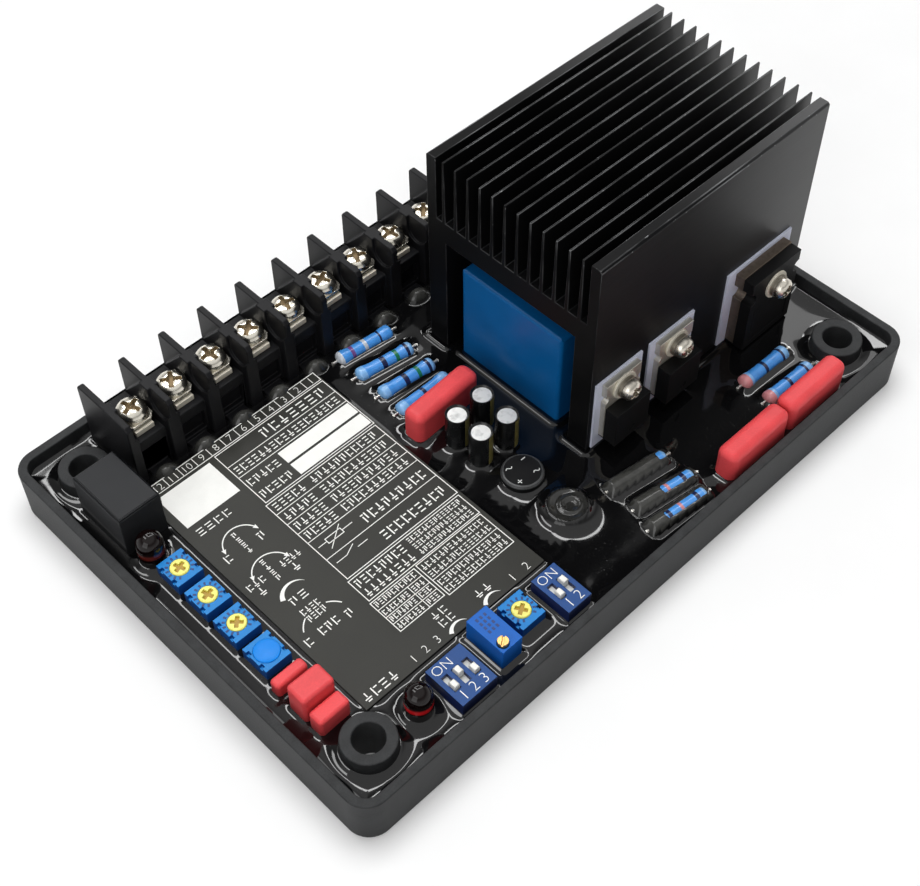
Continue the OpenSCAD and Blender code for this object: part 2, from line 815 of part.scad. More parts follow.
module resistors_rear() { color([0.25, 0.5, 0.75]) for (p = res_rear) place_resistor(p) resistor_body(); }
module resistors_right() { color([0.25, 0.5, 0.75]) for (p = res_right) place_resistor(p) resistor_body(); }
module resistors_front() { color([0.25, 0.5, 0.75]) for (p = res_front) place_resistor(p) resistor_body(); }

module resistor_leads() {
  color([0.75, 0.75, 0.73])
  for (p = concat(res_rear, res_right, res_front))
    place_resistor(p)
      for (s = [-1, 1]) {
        translate([s * (res_l + lead_l) / 2, 0, 0]) rotate([0, 90, 0])
          cylinder(r = lead_r, h = lead_l, center = true, $fn = 20);
        translate([s * (res_l / 2 + lead_l), 0, board_top - res_z])
          cylinder(r = lead_r, h = res_z - board_top + lead_r / 2, $fn = 20);
      }
}

// small upright electrolytic capacitors
module can_block(p, z0, z1) {
  translate([p[0], p[1], z0]) cylinder(r = can_r, h = z1 - z0, $fn = 40);
}

module electrolytic_sleeves() {
  bore_r = can_r - can_wall;
  color([0.07, 0.07, 0.07])
  for (p = can_at)
    difference() {
      can_block(p, board_top, can_top);
      translate([p[0], p[1], board_top + can_foot]) cylinder(r = bore_r, h = can_top, $fn = 40);
      // sleeve end that curls in over the can
      translate([p[0], p[1], can_top - can_wall + can_lip])
        cylinder(r1 = bore_r, r2 = can_r - can_lip, h = can_wall - can_lip + 0.01, $fn = 40);
    }
}

module electrolytic_cans() {
  can_h = can_top - board_top - can_foot - can_wall + can_lip;
  color([0.82, 0.82, 0.8])
  for (p = can_at)
    translate([p[0], p[1], board_top + can_foot]) cylinder(r = can_r - can_wall, h = can_h, $fn = 40);
}

// round rectifiers, one clear of the resin and one coated by it
module round_rectifier(at, h) {
  color([0.06, 0.06, 0.06])
  translate([at[0], at[1], board_top]) {
    cylinder(r = round_r, h = h - round_bevel);
    translate([0, 0, h - round_bevel]) cylinder(r1 = round_r, r2 = round_r - round_bevel, h = round_bevel);
  }
}

module bridge_rectifier() { round_rectifier(bridge_at, bridge_h); }
module coated_rectifier() { round_rectifier(coated_at, coated_h); }

// round-top lamps with a collar at the resin
module led(p) {
  translate([p[0], p[1], board_top]) {
    cylinder(r = led_collar_r, h = led_collar_h, $fn = 40);
    cylinder(r = led_r, h = led_h, $fn = 40);
    translate([0, 0, led_h]) intersection() {
      sphere(r = led_r, $fn = 40);
      cylinder(r = led_collar_r, h = led_collar_r);
    }
  }
}

module led_left() { color([0.3, 0.02, 0.02]) led(led_left_at); }
module led_front() { color([0.3, 0.02, 0.02]) led(led_front_at); }

module relay() {
  bevel = 0.4;
  color([0.06, 0.06, 0.065])
  translate([left_x + relay_off, left_y(0), 0]) {
    box_at(-relay_l / 2, relay_l / 2, -relay_w / 2, relay_w / 2, board_top, relay_top - bevel);
    box_at(-relay_l / 2 + bevel, relay_l / 2 - bevel, -relay_w / 2 + bevel, relay_w / 2 - bevel,
      relay_top - bevel, relay_top);
  }
}

// slide switches: housing with open slots, one slider in each slot
function slider_x(n, i) = (i - (n - 1) / 2) * dip_pitch;

module dip_block(p, n, z0, z1) {
  half = dip_l(n) / 2;
  box_at(p[0] - half, p[0] + half, p[1] - dip_w / 2, p[1] + dip_w / 2, z0, z1);
}

module dip_housing(p, n) {
  slot_w = knob_w + 2 * slider_gap;
  slot_l = dip_travel + knob_l + slot_spare;
  difference() {
    dip_block(p, n, board_top, dip_top);
    for (i = [0:n - 1])
      translate([p[0] + slider_x(n, i) - slot_w / 2, p[1] - slot_l / 2, dip_top - slot_d])
        cube([slot_w, slot_l, slot_d + 1]);
  }
}

// state -1 stands at the number end, +1 at the other end
module dip_slider(p, n, i, state) {
  body_h = slot_d - slider_gap + knob_h - knob_cap;
  translate([p[0] + slider_x(n, i), p[1] + state * dip_travel / 2, dip_top - slot_d + slider_gap]) {
    translate([-knob_w / 2, -knob_l / 2, 0]) cube([knob_w, knob_l, body_h]);
    translate([-knob_w / 2 + knob_bevel, -knob_l / 2 + knob_bevel, body_h])
      cube([knob_w - 2 * knob_bevel, knob_l - 2 * knob_bevel, knob_cap]);
  }
}

module dip_three_body() { color([0.18, 0.32, 0.62]) dip_housing(dip_three, 3); }
module dip_three_slider_a() { color([0.93, 0.93, 0.92]) dip_slider(dip_three, 3, 0, -1); }
module dip_three_slider_b() { color([0.93, 0.93, 0.92]) dip_slider(dip_three, 3, 1, 1); }
module dip_three_slider_c() { color([0.93, 0.93, 0.92]) dip_slider(dip_three, 3, 2, -1); }
module dip_two_body() { color([0.18, 0.32, 0.62]) dip_housing(dip_two, 2); }
module dip_two_slider_a() { color([0.93, 0.93, 0.92]) dip_slider(dip_two, 2, 0, -1); }
module dip_two_slider_b() { color([0.93, 0.93, 0.92]) dip_slider(dip_two, 2, 1, 1); }

// many-turn trimmer: tall block with a brass screw near one end
module multiturn_block(z0, z1) {
  box_at(multi_at[0] - multi_l / 2, multi_at[0] + multi_l / 2, multi_at[1] - multi_w / 2,
    multi_at[1] + multi_w / 2, z0, z1);
}

module at_multi_screw() {
  translate([multi_at[0] + multi_screw[0], multi_at[1] + multi_screw[1], multi_top]) children();
}

module multiturn_body() {
  color([0.1, 0.33, 0.68])
  difference() {
    multiturn_block(board_top, multi_top);
    at_multi_screw() translate([0, 0, -multi_seat])
      cylinder(r = multi_screw_r + rotor_gap, h = multi_seat + 1, $fn = 40);
  }
}

module multiturn_screw() {
  color([0.83, 0.68, 0.42])
  at_multi_screw()
  difference() {
    translate([0, 0, rotor_gap - multi_seat])
      cylinder(r = multi_screw_r, h = multi_seat + 0.9 - rotor_gap, $fn = 40);
    rotate(35) translate([-2, -0.2, 0.45]) cube([4, 0.4, 1]);
  }
}

// square single-turn trimmers
function trim_at(i) = [left_x, left_y(i + 2)];

module trimmer_block(p, z0, z1) {
  box_at(p[0] - trim_l / 2, p[0] + trim_l / 2, p[1] - trim_w / 2, p[1] + trim_w / 2, z0, z1);
}

module trimmer(p, seat_r) {
  difference() {
    trimmer_block(p, board_top, trim_top);
    translate([p[0], p[1], trim_top - rotor_seat]) cylinder(r = seat_r, h = rotor_seat + 1, $fn = 40);
    // two notches along each side of the top
    for (sx = [-1, 1], sy = [-1, 1])
      translate([p[0] + sx * trim_l / 2, p[1] + sy * notch_y, trim_top])
        cube([2 * notch[0], notch[1], 2 * notch[2]], center = true);
  }
}

module trimmer_rotor(p, turn) {
  translate([p[0], p[1], trim_top - rotor_seat + rotor_gap])
  difference() {
    union() {
      cylinder(r = rotor_r, h = rotor_h, $fn = 40);
      translate([0, 0, rotor_h])
        cylinder(r1 = rotor_r, r2 = rotor_r - rotor_bevel, h = rotor_bevel, $fn = 40);
    }
    translate([0, 0, rotor_h + rotor_bevel]) for (a = [0, 90])
      rotate(turn + a) translate([-rotor_slot[0] / 2, -rotor_slot[1] / 2, -rotor_slot[2]])
        cube([rotor_slot[0], rotor_slot[1], 1]);
  }
}

module trimmer_a_body() { color([0.3, 0.62, 0.86]) trimmer(trim_at(0), rotor_r + rotor_gap); }
module trimmer_b_body() { color([0.3, 0.62, 0.86]) trimmer(trim_at(1), rotor_r + rotor_gap); }
module trimmer_c_body() { color([0.3, 0.62, 0.86]) trimmer(trim_at(2), rotor_r + rotor_gap); }
module trimmer_d_body() { color([0.3, 0.62, 0.86]) trimmer(trim_at(3), seal_r); }
module trimmer_e_body() { color([0.3, 0.62, 0.86]) trimmer(trim_front, rotor_r + rotor_gap); }
module trimmer_a_rotor() { color([0.95, 0.9, 0.55]) trimmer_rotor(trim_at(0), 20); }
module trimmer_b_rotor() { color([0.95, 0.9, 0.55]) trimmer_rotor(trim_at(1), 15); }
module trimmer_c_rotor() { color([0.95, 0.9, 0.55]) trimmer_rotor(trim_at(2), -45); }
module trimmer_e_rotor() { color([0.95, 0.9, 0.55]) trimmer_rotor(trim_front, 30); }

// sealing cap pressed over the fourth trimmer's seat
module trimmer_d_seal() {
  color([0.16, 0.55, 0.9])
  translate([trim_at(3)[0], trim_at(3)[1], trim_top - rotor_seat]) {
    cylinder(r = seal_r, h = rotor_seat + 0.1, $fn = 40);
    translate([0, 0, rotor_seat + 0.1]) cylinder(r1 = seal_r, r2 = seal_r - 0.3, h = 0.15, $fn = 40);
  }
}

tray();
circuit_board();
potting();
label_plate();
terminal_block();
terminal_plates();
terminal_clamps();
terminal_screws();
heatsink();
insulator_pad_a();
insulator_pad_b();
insulator_pad_c();
transistor_a_tab();
transistor_a_body();
transistor_b_tab();
transistor_b_body();
transistor_c_tab();
transistor_c_body();
transistor_flat_washers();
transistor_spring_washers();
transistor_screws();
box_capacitor();
film_capacitor_rear();
film_capacitor_right_a();
film_capacitor_right_b();
film_capacitor_left_a();
film_capacitor_left_b();
film_capacitor_left_c();
resistors_rear();
resistors_right();
resistors_front();
resistor_leads();
electrolytic_sleeves();
electrolytic_cans();
bridge_rectifier();
coated_rectifier();
led_left();
led_front();
relay();
dip_three_body();
dip_three_slider_a();
dip_three_slider_b();
dip_three_slider_c();
dip_two_body();
dip_two_slider_a();
dip_two_slider_b();
multiturn_body();
multiturn_screw();
trimmer_a_body();
trimmer_b_body();
trimmer_c_body();
trimmer_d_body();
trimmer_e_body();
trimmer_a_rotor();
trimmer_b_rotor();
trimmer_c_rotor();
trimmer_e_rotor();
trimmer_d_seal();
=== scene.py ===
# %% [markdown]
# # An automatic voltage regulator, dressed for its picture
# The real object is a black moulded tray, filled with glossy casting resin. A terminal strip, a finned
# heatsink, a printed label and about forty small electronic parts stand in the resin. Their sizes and places
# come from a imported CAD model, which is loaded first and never moved. This lesson gives every piece its
# rounded edges, its print and its finish, and then lights it.

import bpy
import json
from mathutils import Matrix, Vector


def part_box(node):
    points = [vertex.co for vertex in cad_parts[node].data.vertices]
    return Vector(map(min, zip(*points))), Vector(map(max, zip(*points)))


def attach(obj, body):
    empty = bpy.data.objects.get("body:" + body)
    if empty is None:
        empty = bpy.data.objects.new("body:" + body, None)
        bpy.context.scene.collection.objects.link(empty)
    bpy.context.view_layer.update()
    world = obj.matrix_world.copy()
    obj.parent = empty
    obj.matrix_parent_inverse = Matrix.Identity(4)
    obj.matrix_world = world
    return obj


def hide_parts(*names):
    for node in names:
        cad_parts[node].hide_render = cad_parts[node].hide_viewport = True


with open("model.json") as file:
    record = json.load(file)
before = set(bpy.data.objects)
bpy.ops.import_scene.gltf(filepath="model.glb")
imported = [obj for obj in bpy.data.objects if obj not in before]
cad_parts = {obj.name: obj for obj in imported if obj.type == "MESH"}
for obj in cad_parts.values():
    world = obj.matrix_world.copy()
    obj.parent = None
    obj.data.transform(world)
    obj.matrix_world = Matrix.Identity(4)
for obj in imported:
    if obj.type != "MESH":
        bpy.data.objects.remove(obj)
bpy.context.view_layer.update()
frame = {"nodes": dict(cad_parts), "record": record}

import json
import math
import random

import bmesh
import bpy
import numpy as np
from mathutils import Matrix, Vector, geometry

MM = 0.001
record = frame["record"]
body_of = {node: body for body, nodes in record["behaviour"]["bodies"].items() for node in nodes}
slot_of = {part["node"]: part["material_slot"] for part in record["subparts"]}

# %% [markdown]
# ## The camera
# The picture looks down on the tray from its near left corner. A camera can be placed by trial, but here it
# was fitted to the tray's corners, so that its place, its aim, its small roll and its lens are known values.

# %% Camera
EYE = Vector((-145.565, -147.212, 259.275)) * MM
AIM = Vector((-3.26, 0.55, 0.0)) * MM
ROLL = math.radians(-0.566)
LENS = 60.965

camera_data = bpy.data.cameras.new("photo_camera")
camera_data.sensor_fit = "HORIZONTAL"
camera_data.sensor_width = 36.0
camera_data.lens = LENS
camera_data.clip_start = 0.01
camera = bpy.data.objects.new("photo_camera", camera_data)
bpy.context.scene.collection.objects.link(camera)
look = (AIM - EYE).to_track_quat("-Z", "Y").to_matrix().to_4x4()
camera.matrix_world = Matrix.Translation(EYE) @ look @ Matrix.Rotation(ROLL, 4, "Z")
bpy.context.scene.camera = camera
bpy.context.scene.view_settings.view_transform = "Standard"
print("camera", round((AIM - EYE).length / MM), "mm from its aim")

# %% [markdown]
# ## Shader maths in plain expressions
# A finish is a small net of nodes. Wiring nodes one by one hides the idea behind it, so a class wraps a
# socket and lets Python's operators add Math nodes: `1 - mask * 0.3` is then two nodes. One method adds any
# other node: its settings are set first, and then its sockets get values or links.

# %% The socket class
class Wire:
    """One socket of a node tree. Arithmetic on it adds Math nodes."""

    def __init__(self, tree, socket):
        self.tree = tree
        self.socket = socket

    def node(self, kind, settings, sockets, output=0):
        """Adds a node: its settings first, then the values or links of its sockets."""
        made = self.tree.nodes.new("ShaderNode" + kind)
        for name, value in settings.items():
            setattr(made, name, value)
        for name, value in sockets.items():
            if isinstance(value, Wire):
                self.tree.links.new(value.socket, made.inputs[name])
            else:
                made.inputs[name].default_value = value
        return Wire(self.tree, made.outputs[output])

    def math(self, operation, *values):
        return self.node("Math", {"operation": operation}, dict(enumerate(values)))

    def __add__(self, other):
        return self.math("ADD", self, other)

    def __radd__(self, other):
        return self.math("ADD", other, self)

    def __sub__(self, other):
        return self.math("SUBTRACT", self, other)

    def __rsub__(self, other):
        return self.math("SUBTRACT", other, self)

    def __mul__(self, other):
        return self.math("MULTIPLY", self, other)

    def __rmul__(self, other):
        return self.math("MULTIPLY", other, self)

    def axis(self, number):
        """One coordinate of a point: 0, 1 or 2 for X, Y or Z."""
        return self.node("SeparateXYZ", {}, {0: self}, number)

    def smooth(self, low, high):
        """Goes softly from 0 to 1 as the value goes from low to high."""
        settings = {"interpolation_type": "SMOOTHSTEP"}
        return self.node("MapRange", settings, {0: self, 1: low, 2: high, 3: 0.0, 4: 1.0})

    def noise(self, size, detail=3.0, stretch=(1, 1, 1)):
        """Cloudy noise with blobs of about this size in metres, from these coordinates."""
        scaled = self.node("VectorMath", {"operation": "DIVIDE"}, {0: self, 1: [size * s for s in stretch]})
        return scaled.node("TexNoise", {}, {"Vector": scaled, "Scale": 1.0, "Detail": detail})

    def mix(self, low, high):
        """A colour between two colours, by this value."""
        return self.node("Mix", {"data_type": "RGBA"}, {0: self, 6: low, 7: high}, 2)

    def bump(self, strength, depth):
        """A surface direction, from this value taken as a height of up to depth metres."""
        return self.node("Bump", {}, {"Strength": strength, "Distance": depth, "Height": self})


print("socket class ready")

# %% [markdown]
# ## Ways to make a finish
# Paint charts give colours as screen numbers from 0 to 255, while shaders want linear light, so one helper
# converts. Every finish starts from the Principled shader. Values that are the same all over go straight on
# its sockets, and what varies over the surface is wired to it from the piece's own coordinates.

# %% Finish helpers
def screen(red, green, blue, gain=1.0):
    """Linear colour of a screen colour given from 0 to 255."""
    def linear(value):
        share = value / 255
        return share / 12.92 if share <= 0.04045 else ((share + 0.055) / 1.055) ** 2.4
    return tuple(min(1.0, linear(value) * gain) for value in (red, green, blue)) + (1.0,)


def coordinates(tree, kind="Object"):
    """The coordinates that a node tree starts from."""
    return Wire(tree, tree.nodes.new("ShaderNodeTexCoord").outputs[kind])


def new_finish(name, fixed):
    """A material with a Principled shader that has these fixed values, and its coordinates."""
    finish = bpy.data.materials.new(name)
    finish.use_nodes = True
    tree = finish.node_tree
    for socket, value in fixed.items():
        tree.nodes["Principled BSDF"].inputs[socket].default_value = value
    return finish, coordinates(tree)


def feed(finish, wires):
    """Links wires to the sockets of the finish's shader."""
    shader = finish.node_tree.nodes["Principled BSDF"]
    for socket, wire in wires.items():
        finish.node_tree.links.new(wire.socket, shader.inputs[socket])
    return finish


def moulding(name, colour, rough, grain=0.3, depth=0.004, cloud=6.0, spread=0.12, fixed=None):
    """Moulded plastic, lacquer or ceramic: grain, depth and cloud are in millimetres."""
    finish, spot = new_finish(name, fixed or {})
    fine = spot.noise(grain * MM, 4.0)
    broad = spot.noise(cloud * MM, 2.0)
    tone = broad * 0.6 + fine * 0.4
    low, high = screen(*colour, 1 - spread), screen(*colour, 1 + spread)
    roughness = rough - 0.1 + broad * 0.12 + fine * 0.08
    return feed(finish, {
        "Base Color": tone.smooth(0.25, 0.75).mix(low, high),
        "Roughness": roughness,
        "Normal": fine.bump(0.6, depth * MM),
    })


def plating(name, colour, rough, grain=0.25, stretch=(1, 1, 1), stain=0.25):
    """Bare or plated metal with faint brush marks along the stretched direction and dull stains."""
    finish, spot = new_finish(name, {"Metallic": 1.0})
    brush = spot.noise(grain * MM, 3.0, stretch)
    blotch = spot.noise(1.6 * MM, 3.0)
    dull = blotch.smooth(0.45, 0.75)
    return feed(finish, {
        "Base Color": dull.mix(screen(*colour), screen(*colour, 1 - stain)),
        "Roughness": rough + brush * 0.12 + dull * 0.1,
        "Normal": brush.bump(0.2, 0.004 * MM),
    })


print("finish helpers ready")

# %% [markdown]
# ## Plastics
# Tray, strip, relay and packages are all black, yet they look different: the tray has a spark-eroded grain,
# the strip is smoother and the packages are dull. The switches, trimmers and capacitors are coloured. All of
# them share one recipe with other numbers, which keeps the differences easy to see.

# %% Plastic finishes
DULL = {"Specular IOR Level": 0.18}
SATIN = {"Specular IOR Level": 0.22}
PLASTICS = {
    "tray_plastic": ((46, 47, 48), 0.55, 0.35, 0.06, 2.5, 0.34, DULL),
    "board_laminate": ((30, 80, 45), 0.45),
    "strip_plastic": ((19, 19, 21), 0.45, 0.5, 0.006, 7, 0.2, DULL),
    "relay_case": ((36, 37, 39), 0.48, 0.25, 0.01, 5, 0.12, DULL),
    "black_epoxy": ((11, 11, 12), 0.5, 0.16, 0.012, 4, 0.2, DULL),
    "pad_ceramic": ((210, 214, 232), 0.55, 0.4, 0.01, 6, 0.08, SATIN),
    "blue_case": ((6, 94, 158), 0.36, 0.5, 0.006, 9, 0.1, SATIN),
    "red_case": ((224, 76, 80), 0.42, 0.35, 0.012, 5, 0.1, SATIN),
    "white_slider": ((232, 232, 226), 0.42, 0.3, 0.004, 2, 0.05),
    "switch_blue": ((31, 71, 130), 0.4, 0.2, 0.004, 4, 0.08, SATIN),
    "trimmer_deep_blue": ((16, 94, 182), 0.4, 0.2, 0.006, 4, 0.1, SATIN),
    "trimmer_blue": ((32, 127, 200), 0.42, 0.2, 0.005, 3, 0.08, SATIN),
    "seal_blue": ((4, 130, 224), 0.36, 0.5, 0.006, 4, 0.06, SATIN),
    "cream_rotor": ((240, 234, 118), 0.42, 0.25, 0.004, 2, 0.06),
    "black_sleeve": ((16, 17, 18), 0.26, 0.4, 0.006, 3, 0.15),
}
finishes = {name: moulding(name, *numbers) for name, numbers in PLASTICS.items()}
print(len(finishes), "plastic finishes")

# %% [markdown]
# ## Metals
# The screws and clamps are nickel plated, the transistor tabs tinned and the adjusting screw brass. A metal's
# look is its reflections, so colour and roughness change only a little, with brush marks that are stretched
# along the way the metal was rolled. The contact plates and the flat washers are so dull that they look right
# only as matt, pale surfaces, so they borrow the recipe of the plastics.

# %% Metal finishes
METALS = {
    "nickel_plate": ((228, 223, 210), 0.15, 0.2, (1, 5, 1), 0.14),
    "tinned_copper": ((222, 218, 206), 0.4, 0.2, (6, 1, 1), 0.16),
    "zinc_steel": ((214, 208, 196), 0.2, 0.2, (1, 1, 1), 0.3),
    "lead_wire": ((205, 203, 198), 0.26, 0.15, (4, 1, 1), 0.2),
    "can_aluminium": ((240, 240, 238), 0.42, 0.3, (1, 1, 1), 0.3),
    "brass": ((222, 176, 112), 0.26, 0.2, (1, 1, 1), 0.2),
}
finishes |= {name: plating(name, *numbers) for name, numbers in METALS.items()}
own_finish = {
    "transistor_flat_washers": moulding("washer_zinc", (206, 200, 185), 0.48, 0.2, 0.01, 1.5, 0.12),
    "transistor_spring_washers": plating("spring_steel", (156, 150, 138), 0.36, 0.2, (1, 1, 1), 0.3),
    "transistor_c_tab": plating("aged_tin", (132, 120, 108), 0.42, 0.2, (6, 1, 1), 0.25),
    "terminal_plates": moulding("plate_tin", (216, 210, 194), 0.45, 0.2, 0.01, 1.5, 0.1),
}
recess_finish = plating("screw_recess", (128, 110, 84), 0.42, 0.2, (1, 1, 1), 0.5)
print("metal finishes", list(METALS))

# %% [markdown]
# ## Anodised aluminium
# The heatsink is an extrusion, so its die lines run along the fins. Anodising makes it satin black, and a coat
# makes it a little glossier towards one end, where its colour is also painted greyer: a painted reflection of
# the white floor. The edge strips get their own paler finish, a painted highlight with some real wear that is
# palest at the tips of the fins, because they are real bevels later. Paint on a flat face could not follow
# those edges.

# %% Heatsink finishes
SINK_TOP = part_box("heatsink")[1].z


def anodised(name, colour, rub, rough):
    """Black anodised metal with die lines along X. Its far end is painted greyer as a painted reflection, and
    by rub its top is made pale, partly real wear and partly a painted highlight.
    """
    finish, spot = new_finish(name, {"Specular IOR Level": 0.08, "Coat Roughness": 0.35})
    # Greyer towards the far end: a painted reflection of the white floor; the coat there is real
    far_end = spot.axis(0).smooth(25 * MM, 82 * MM)
    # Paler towards the top of the fins: partly real wear, partly a painted highlight
    top_wear_and_highlight = spot.axis(2).smooth(SINK_TOP - 3 * MM, SINK_TOP) * 0.75 + 0.25
    lines = spot.noise(0.12 * MM, 2.0, (400, 1, 1))
    patch = spot.noise(5 * MM, 4.0, (3, 1, 1))
    nick = spot.noise(0.9 * MM, 2.0).smooth(0.66, 0.72)
    pale_wear_and_highlight = (patch.smooth(0.35, 0.75) + nick) * top_wear_and_highlight * rub
    black = far_end.mix(screen(*colour), screen(36, 36, 37))
    return feed(finish, {
        "Base Color": pale_wear_and_highlight.math("MINIMUM", pale_wear_and_highlight, 1.0).mix(black, screen(196, 198, 200)),
        "Coat Weight": far_end * 0.6,
        "Roughness": rough + lines * 0.12 + patch * 0.08,
        "Metallic": pale_wear_and_highlight.math("MINIMUM", pale_wear_and_highlight * 0.8, 0.8),
        "Normal": lines.bump(0.3, 0.006 * MM),
    })


finishes["black_anodised"] = anodised("black_anodised", (11, 11, 12), 0.0, 0.4)
# Paler bevels: a painted highlight on the edges, with some real wear towards the top
edge_wear_and_highlight = anodised("rubbed_edge_and_highlight", (25, 25, 26), 0.3, 0.3)
print("heatsink finishes ready")

# %% [markdown]
# ## Print, lens and lacquer
# White ink, the grey label and the resistors' blue lacquer are thin layers, and lacquer has a clear coat on
# top. The unlit lamps look almost black, with a red band where light comes in above the resin. Real
# transmission would be slow and noisy in so small a piece, so a band of colour by height gives that look.

# %% Print, lens and lacquer finishes
finishes["label_grey"] = moulding("label_grey", (42, 42, 38), 0.42, 0.22, 0.006, 14, 0.2, SATIN)
white_ink = moulding("white_ink", (238, 238, 234), 0.5, 0.2, 0.002, 3, 0.04)
blue_ink = moulding("blue_ink", (16, 52, 110), 0.5, 0.2, 0.002, 3, 0.1)
slot_grey = moulding("slot_grey", (208, 210, 208), 0.5, 0.2, 0.004, 2, 0.06)
stripe_gold = moulding("stripe_gold", (112, 104, 58), 0.34, 0.3, 0.004, 1.2, 0.3)

CLEAR_COAT = {"Coat Weight": 0.5, "Coat Roughness": 0.12}
LACQUER = {
    "blue": (70, 146, 222),
    "pale": (122, 174, 224),
    "navy": (16, 26, 66),
    "green": (16, 110, 74),
    "violet": (110, 70, 130),
    "silver": (190, 196, 204),
    "pink": (196, 128, 132),
}
lacquers = {
    name: moulding("lacquer_" + name, colour, 0.34, 0.25, 0.01, 1.5, 0.1, CLEAR_COAT)
    for name, colour in LACQUER.items()
}
finishes["blue_lacquer"] = lacquers["blue"]


def lamp_lens(name, glow):
    """Dark lens with a band of a brighter red, where light comes in above the resin."""
    finish, spot = new_finish(name, {"Roughness": 0.06, "Specular IOR Level": 0.3})
    tall = spot.axis(2)
    foot = tall.smooth(11.5 * MM, 12.0 * MM) * (1 - tall.smooth(12.5 * MM, 13.4 * MM))
    return feed(finish, {
        "Base Color": foot.mix(screen(13, 5, 5), screen(*glow)),
        "Normal": spot.noise(0.8 * MM).bump(0.1, 0.01 * MM),
    })


finishes["red_lens"] = lamp_lens("red_lens", (214, 30, 36))
coated_lens = lamp_lens("coated_lens", (96, 34, 28))
print(len(finishes), "finishes by slot and", len(lacquers), "lacquers")

# %% [markdown]
# ## Casting resin
# The resin is almost black and mirror smooth, with faint ripples and a little dust. Where it only films over
# a part it looks grey. Its beads and the dish over the rectifier get the same grey as a painted sheen. The mesh
# carries both in a value called film, which the finish reads here. A second material could show the film too,
# but it would end in a hard line.

# %% Resin finish
def casting_resin(name):
    """Glossy black resin that is grey and less smooth where it is a thin film, and on its beads and dish as a
    painted sheen.
    """
    finish, spot = new_finish(name, {"IOR": 1.5})
    film = spot.node("Attribute", {"attribute_name": "film"}, {}, 2)
    dust = spot.noise(0.35 * MM, 2.0).smooth(0.66, 0.74)
    smear = spot.noise(14 * MM, 4.0).smooth(0.45, 0.8)
    ripple = spot.noise(5 * MM, 2.0)
    # Grey where the resin is thin over a part, and a painted sheen on its beads and dish
    grey = film * (0.15 + spot.noise(1.6 * MM, 4.0) * 1.1)
    share = grey * 0.5 + dust * 0.06
    return feed(finish, {
        "Base Color": share.mix(screen(9, 9, 10), screen(96, 96, 92)),
        "Roughness": 0.05 + smear * 0.06 + dust * 0.15 + film * 0.1,
        "Normal": ripple.bump(0.2, 0.08 * MM),
    })


finishes["casting_resin"] = casting_resin("casting_resin")
print("resin finish ready")

# %% [markdown]
# ## Rounded edges on every rigid piece
# No moulded, cast or rolled edge is truly sharp: a thin rounded strip catches the light, and it is what makes
# a model look real. The CAD mesh is copied, its triangles are joined to flat faces and its edges bevelled.
# A bevel shader could fake this, but real geometry also shows in outline.

# %% Mesh helpers
WELD = 0.002 * MM
FLAT = math.radians(1)
SHARP = math.radians(32)


def cad_copy(node):
    """A copy of a node's mesh, with shared corners and without its triangulation, as a bmesh."""
    mesh = frame["nodes"][node].data.copy()
    if "custom_normal" in mesh.attributes:
        mesh.attributes.remove(mesh.attributes["custom_normal"])
    bm = bmesh.new()
    bm.from_mesh(mesh)
    bpy.data.meshes.remove(mesh)
    bmesh.ops.remove_doubles(bm, verts=bm.verts, dist=WELD)
    bmesh.ops.dissolve_limit(bm, angle_limit=FLAT, verts=bm.verts, edges=bm.edges)
    return bm


def islands(bm):
    """The separate solids of a bmesh, each as a list of its vertices."""
    waiting = set(bm.verts)
    found = []
    while waiting:
        group = {waiting.pop()}
        front = list(group)
        while front:
            for edge in front.pop().link_edges:
                for vertex in edge.verts:
                    if vertex in waiting:
                        waiting.remove(vertex)
                        group.add(vertex)
                        front.append(vertex)
        found.append(list(group))
    return found


def rod_of(group):
    """Centre, unit direction, length and radius of a rod, from its vertices."""
    points = np.array([v.co[:] for v in group])
    centre = (points.min(0) + points.max(0)) / 2
    flat = points[:, :2] - centre[:2]
    ways = np.linalg.eigh(flat.T @ flat)[1]
    way = Vector((*ways[:, 1], 0.0))
    way = way if way.x > 0 else -way
    along = flat @ np.array(way[:2])
    return Vector(centre), way, np.ptp(along), np.ptp(points[:, 2]) / 2


print("mesh helpers ready")


# %% Pieces with rounded edges
def place(name, bm, parts, body, stands_for=()):
    """Turns a bmesh into a piece that rides on a body, with one finish for each of its parts."""
    mesh = bpy.data.meshes.new(name)
    bm.to_mesh(mesh)
    bm.free()
    for finish in parts:
        mesh.materials.append(finish)
    piece = bpy.data.objects.new(name, mesh)
    bpy.context.scene.collection.objects.link(piece)
    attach(piece, body)
    if stands_for:
        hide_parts(*stands_for)
    return piece


def round_edges(piece, width, segments=2, edge_part=-1):
    """Bevels the sharp edges of a piece by width millimetres and keeps its flat faces flat."""
    for polygon in piece.data.polygons:
        polygon.use_smooth = True
    piece.data.set_sharp_from_angle(angle=SHARP)
    bevel = piece.modifiers.new("edges", "BEVEL")
    bevel.width = width * MM
    bevel.segments = segments
    bevel.limit_method = "ANGLE"
    bevel.angle_limit = SHARP
    bevel.use_clamp_overlap = False
    bevel.harden_normals = True
    bevel.material = edge_part
    graph = bpy.context.evaluated_depsgraph_get()
    rounded = bpy.data.meshes.new_from_object(piece.evaluated_get(graph))
    piece.modifiers.clear()
    piece.data = rounded
    return piece


def soften(node, width, extra=(), paint=None, edge_part=-1, shape=None):
    """Replaces a node by a copy with rounded edges; shape(mesh) changes it and paint(face) picks a finish."""
    bm = cad_copy(node)
    if shape:
        shape(bm)
    for face in bm.faces:
        face.material_index = paint(face) if paint else 0
    parts = [own_finish.get(node, finishes[slot_of[node]]), *extra]
    piece = place(node + "_dressed", bm, parts, body_of[node], [node])
    return round_edges(piece, width, edge_part=edge_part)


print("edge helpers ready")

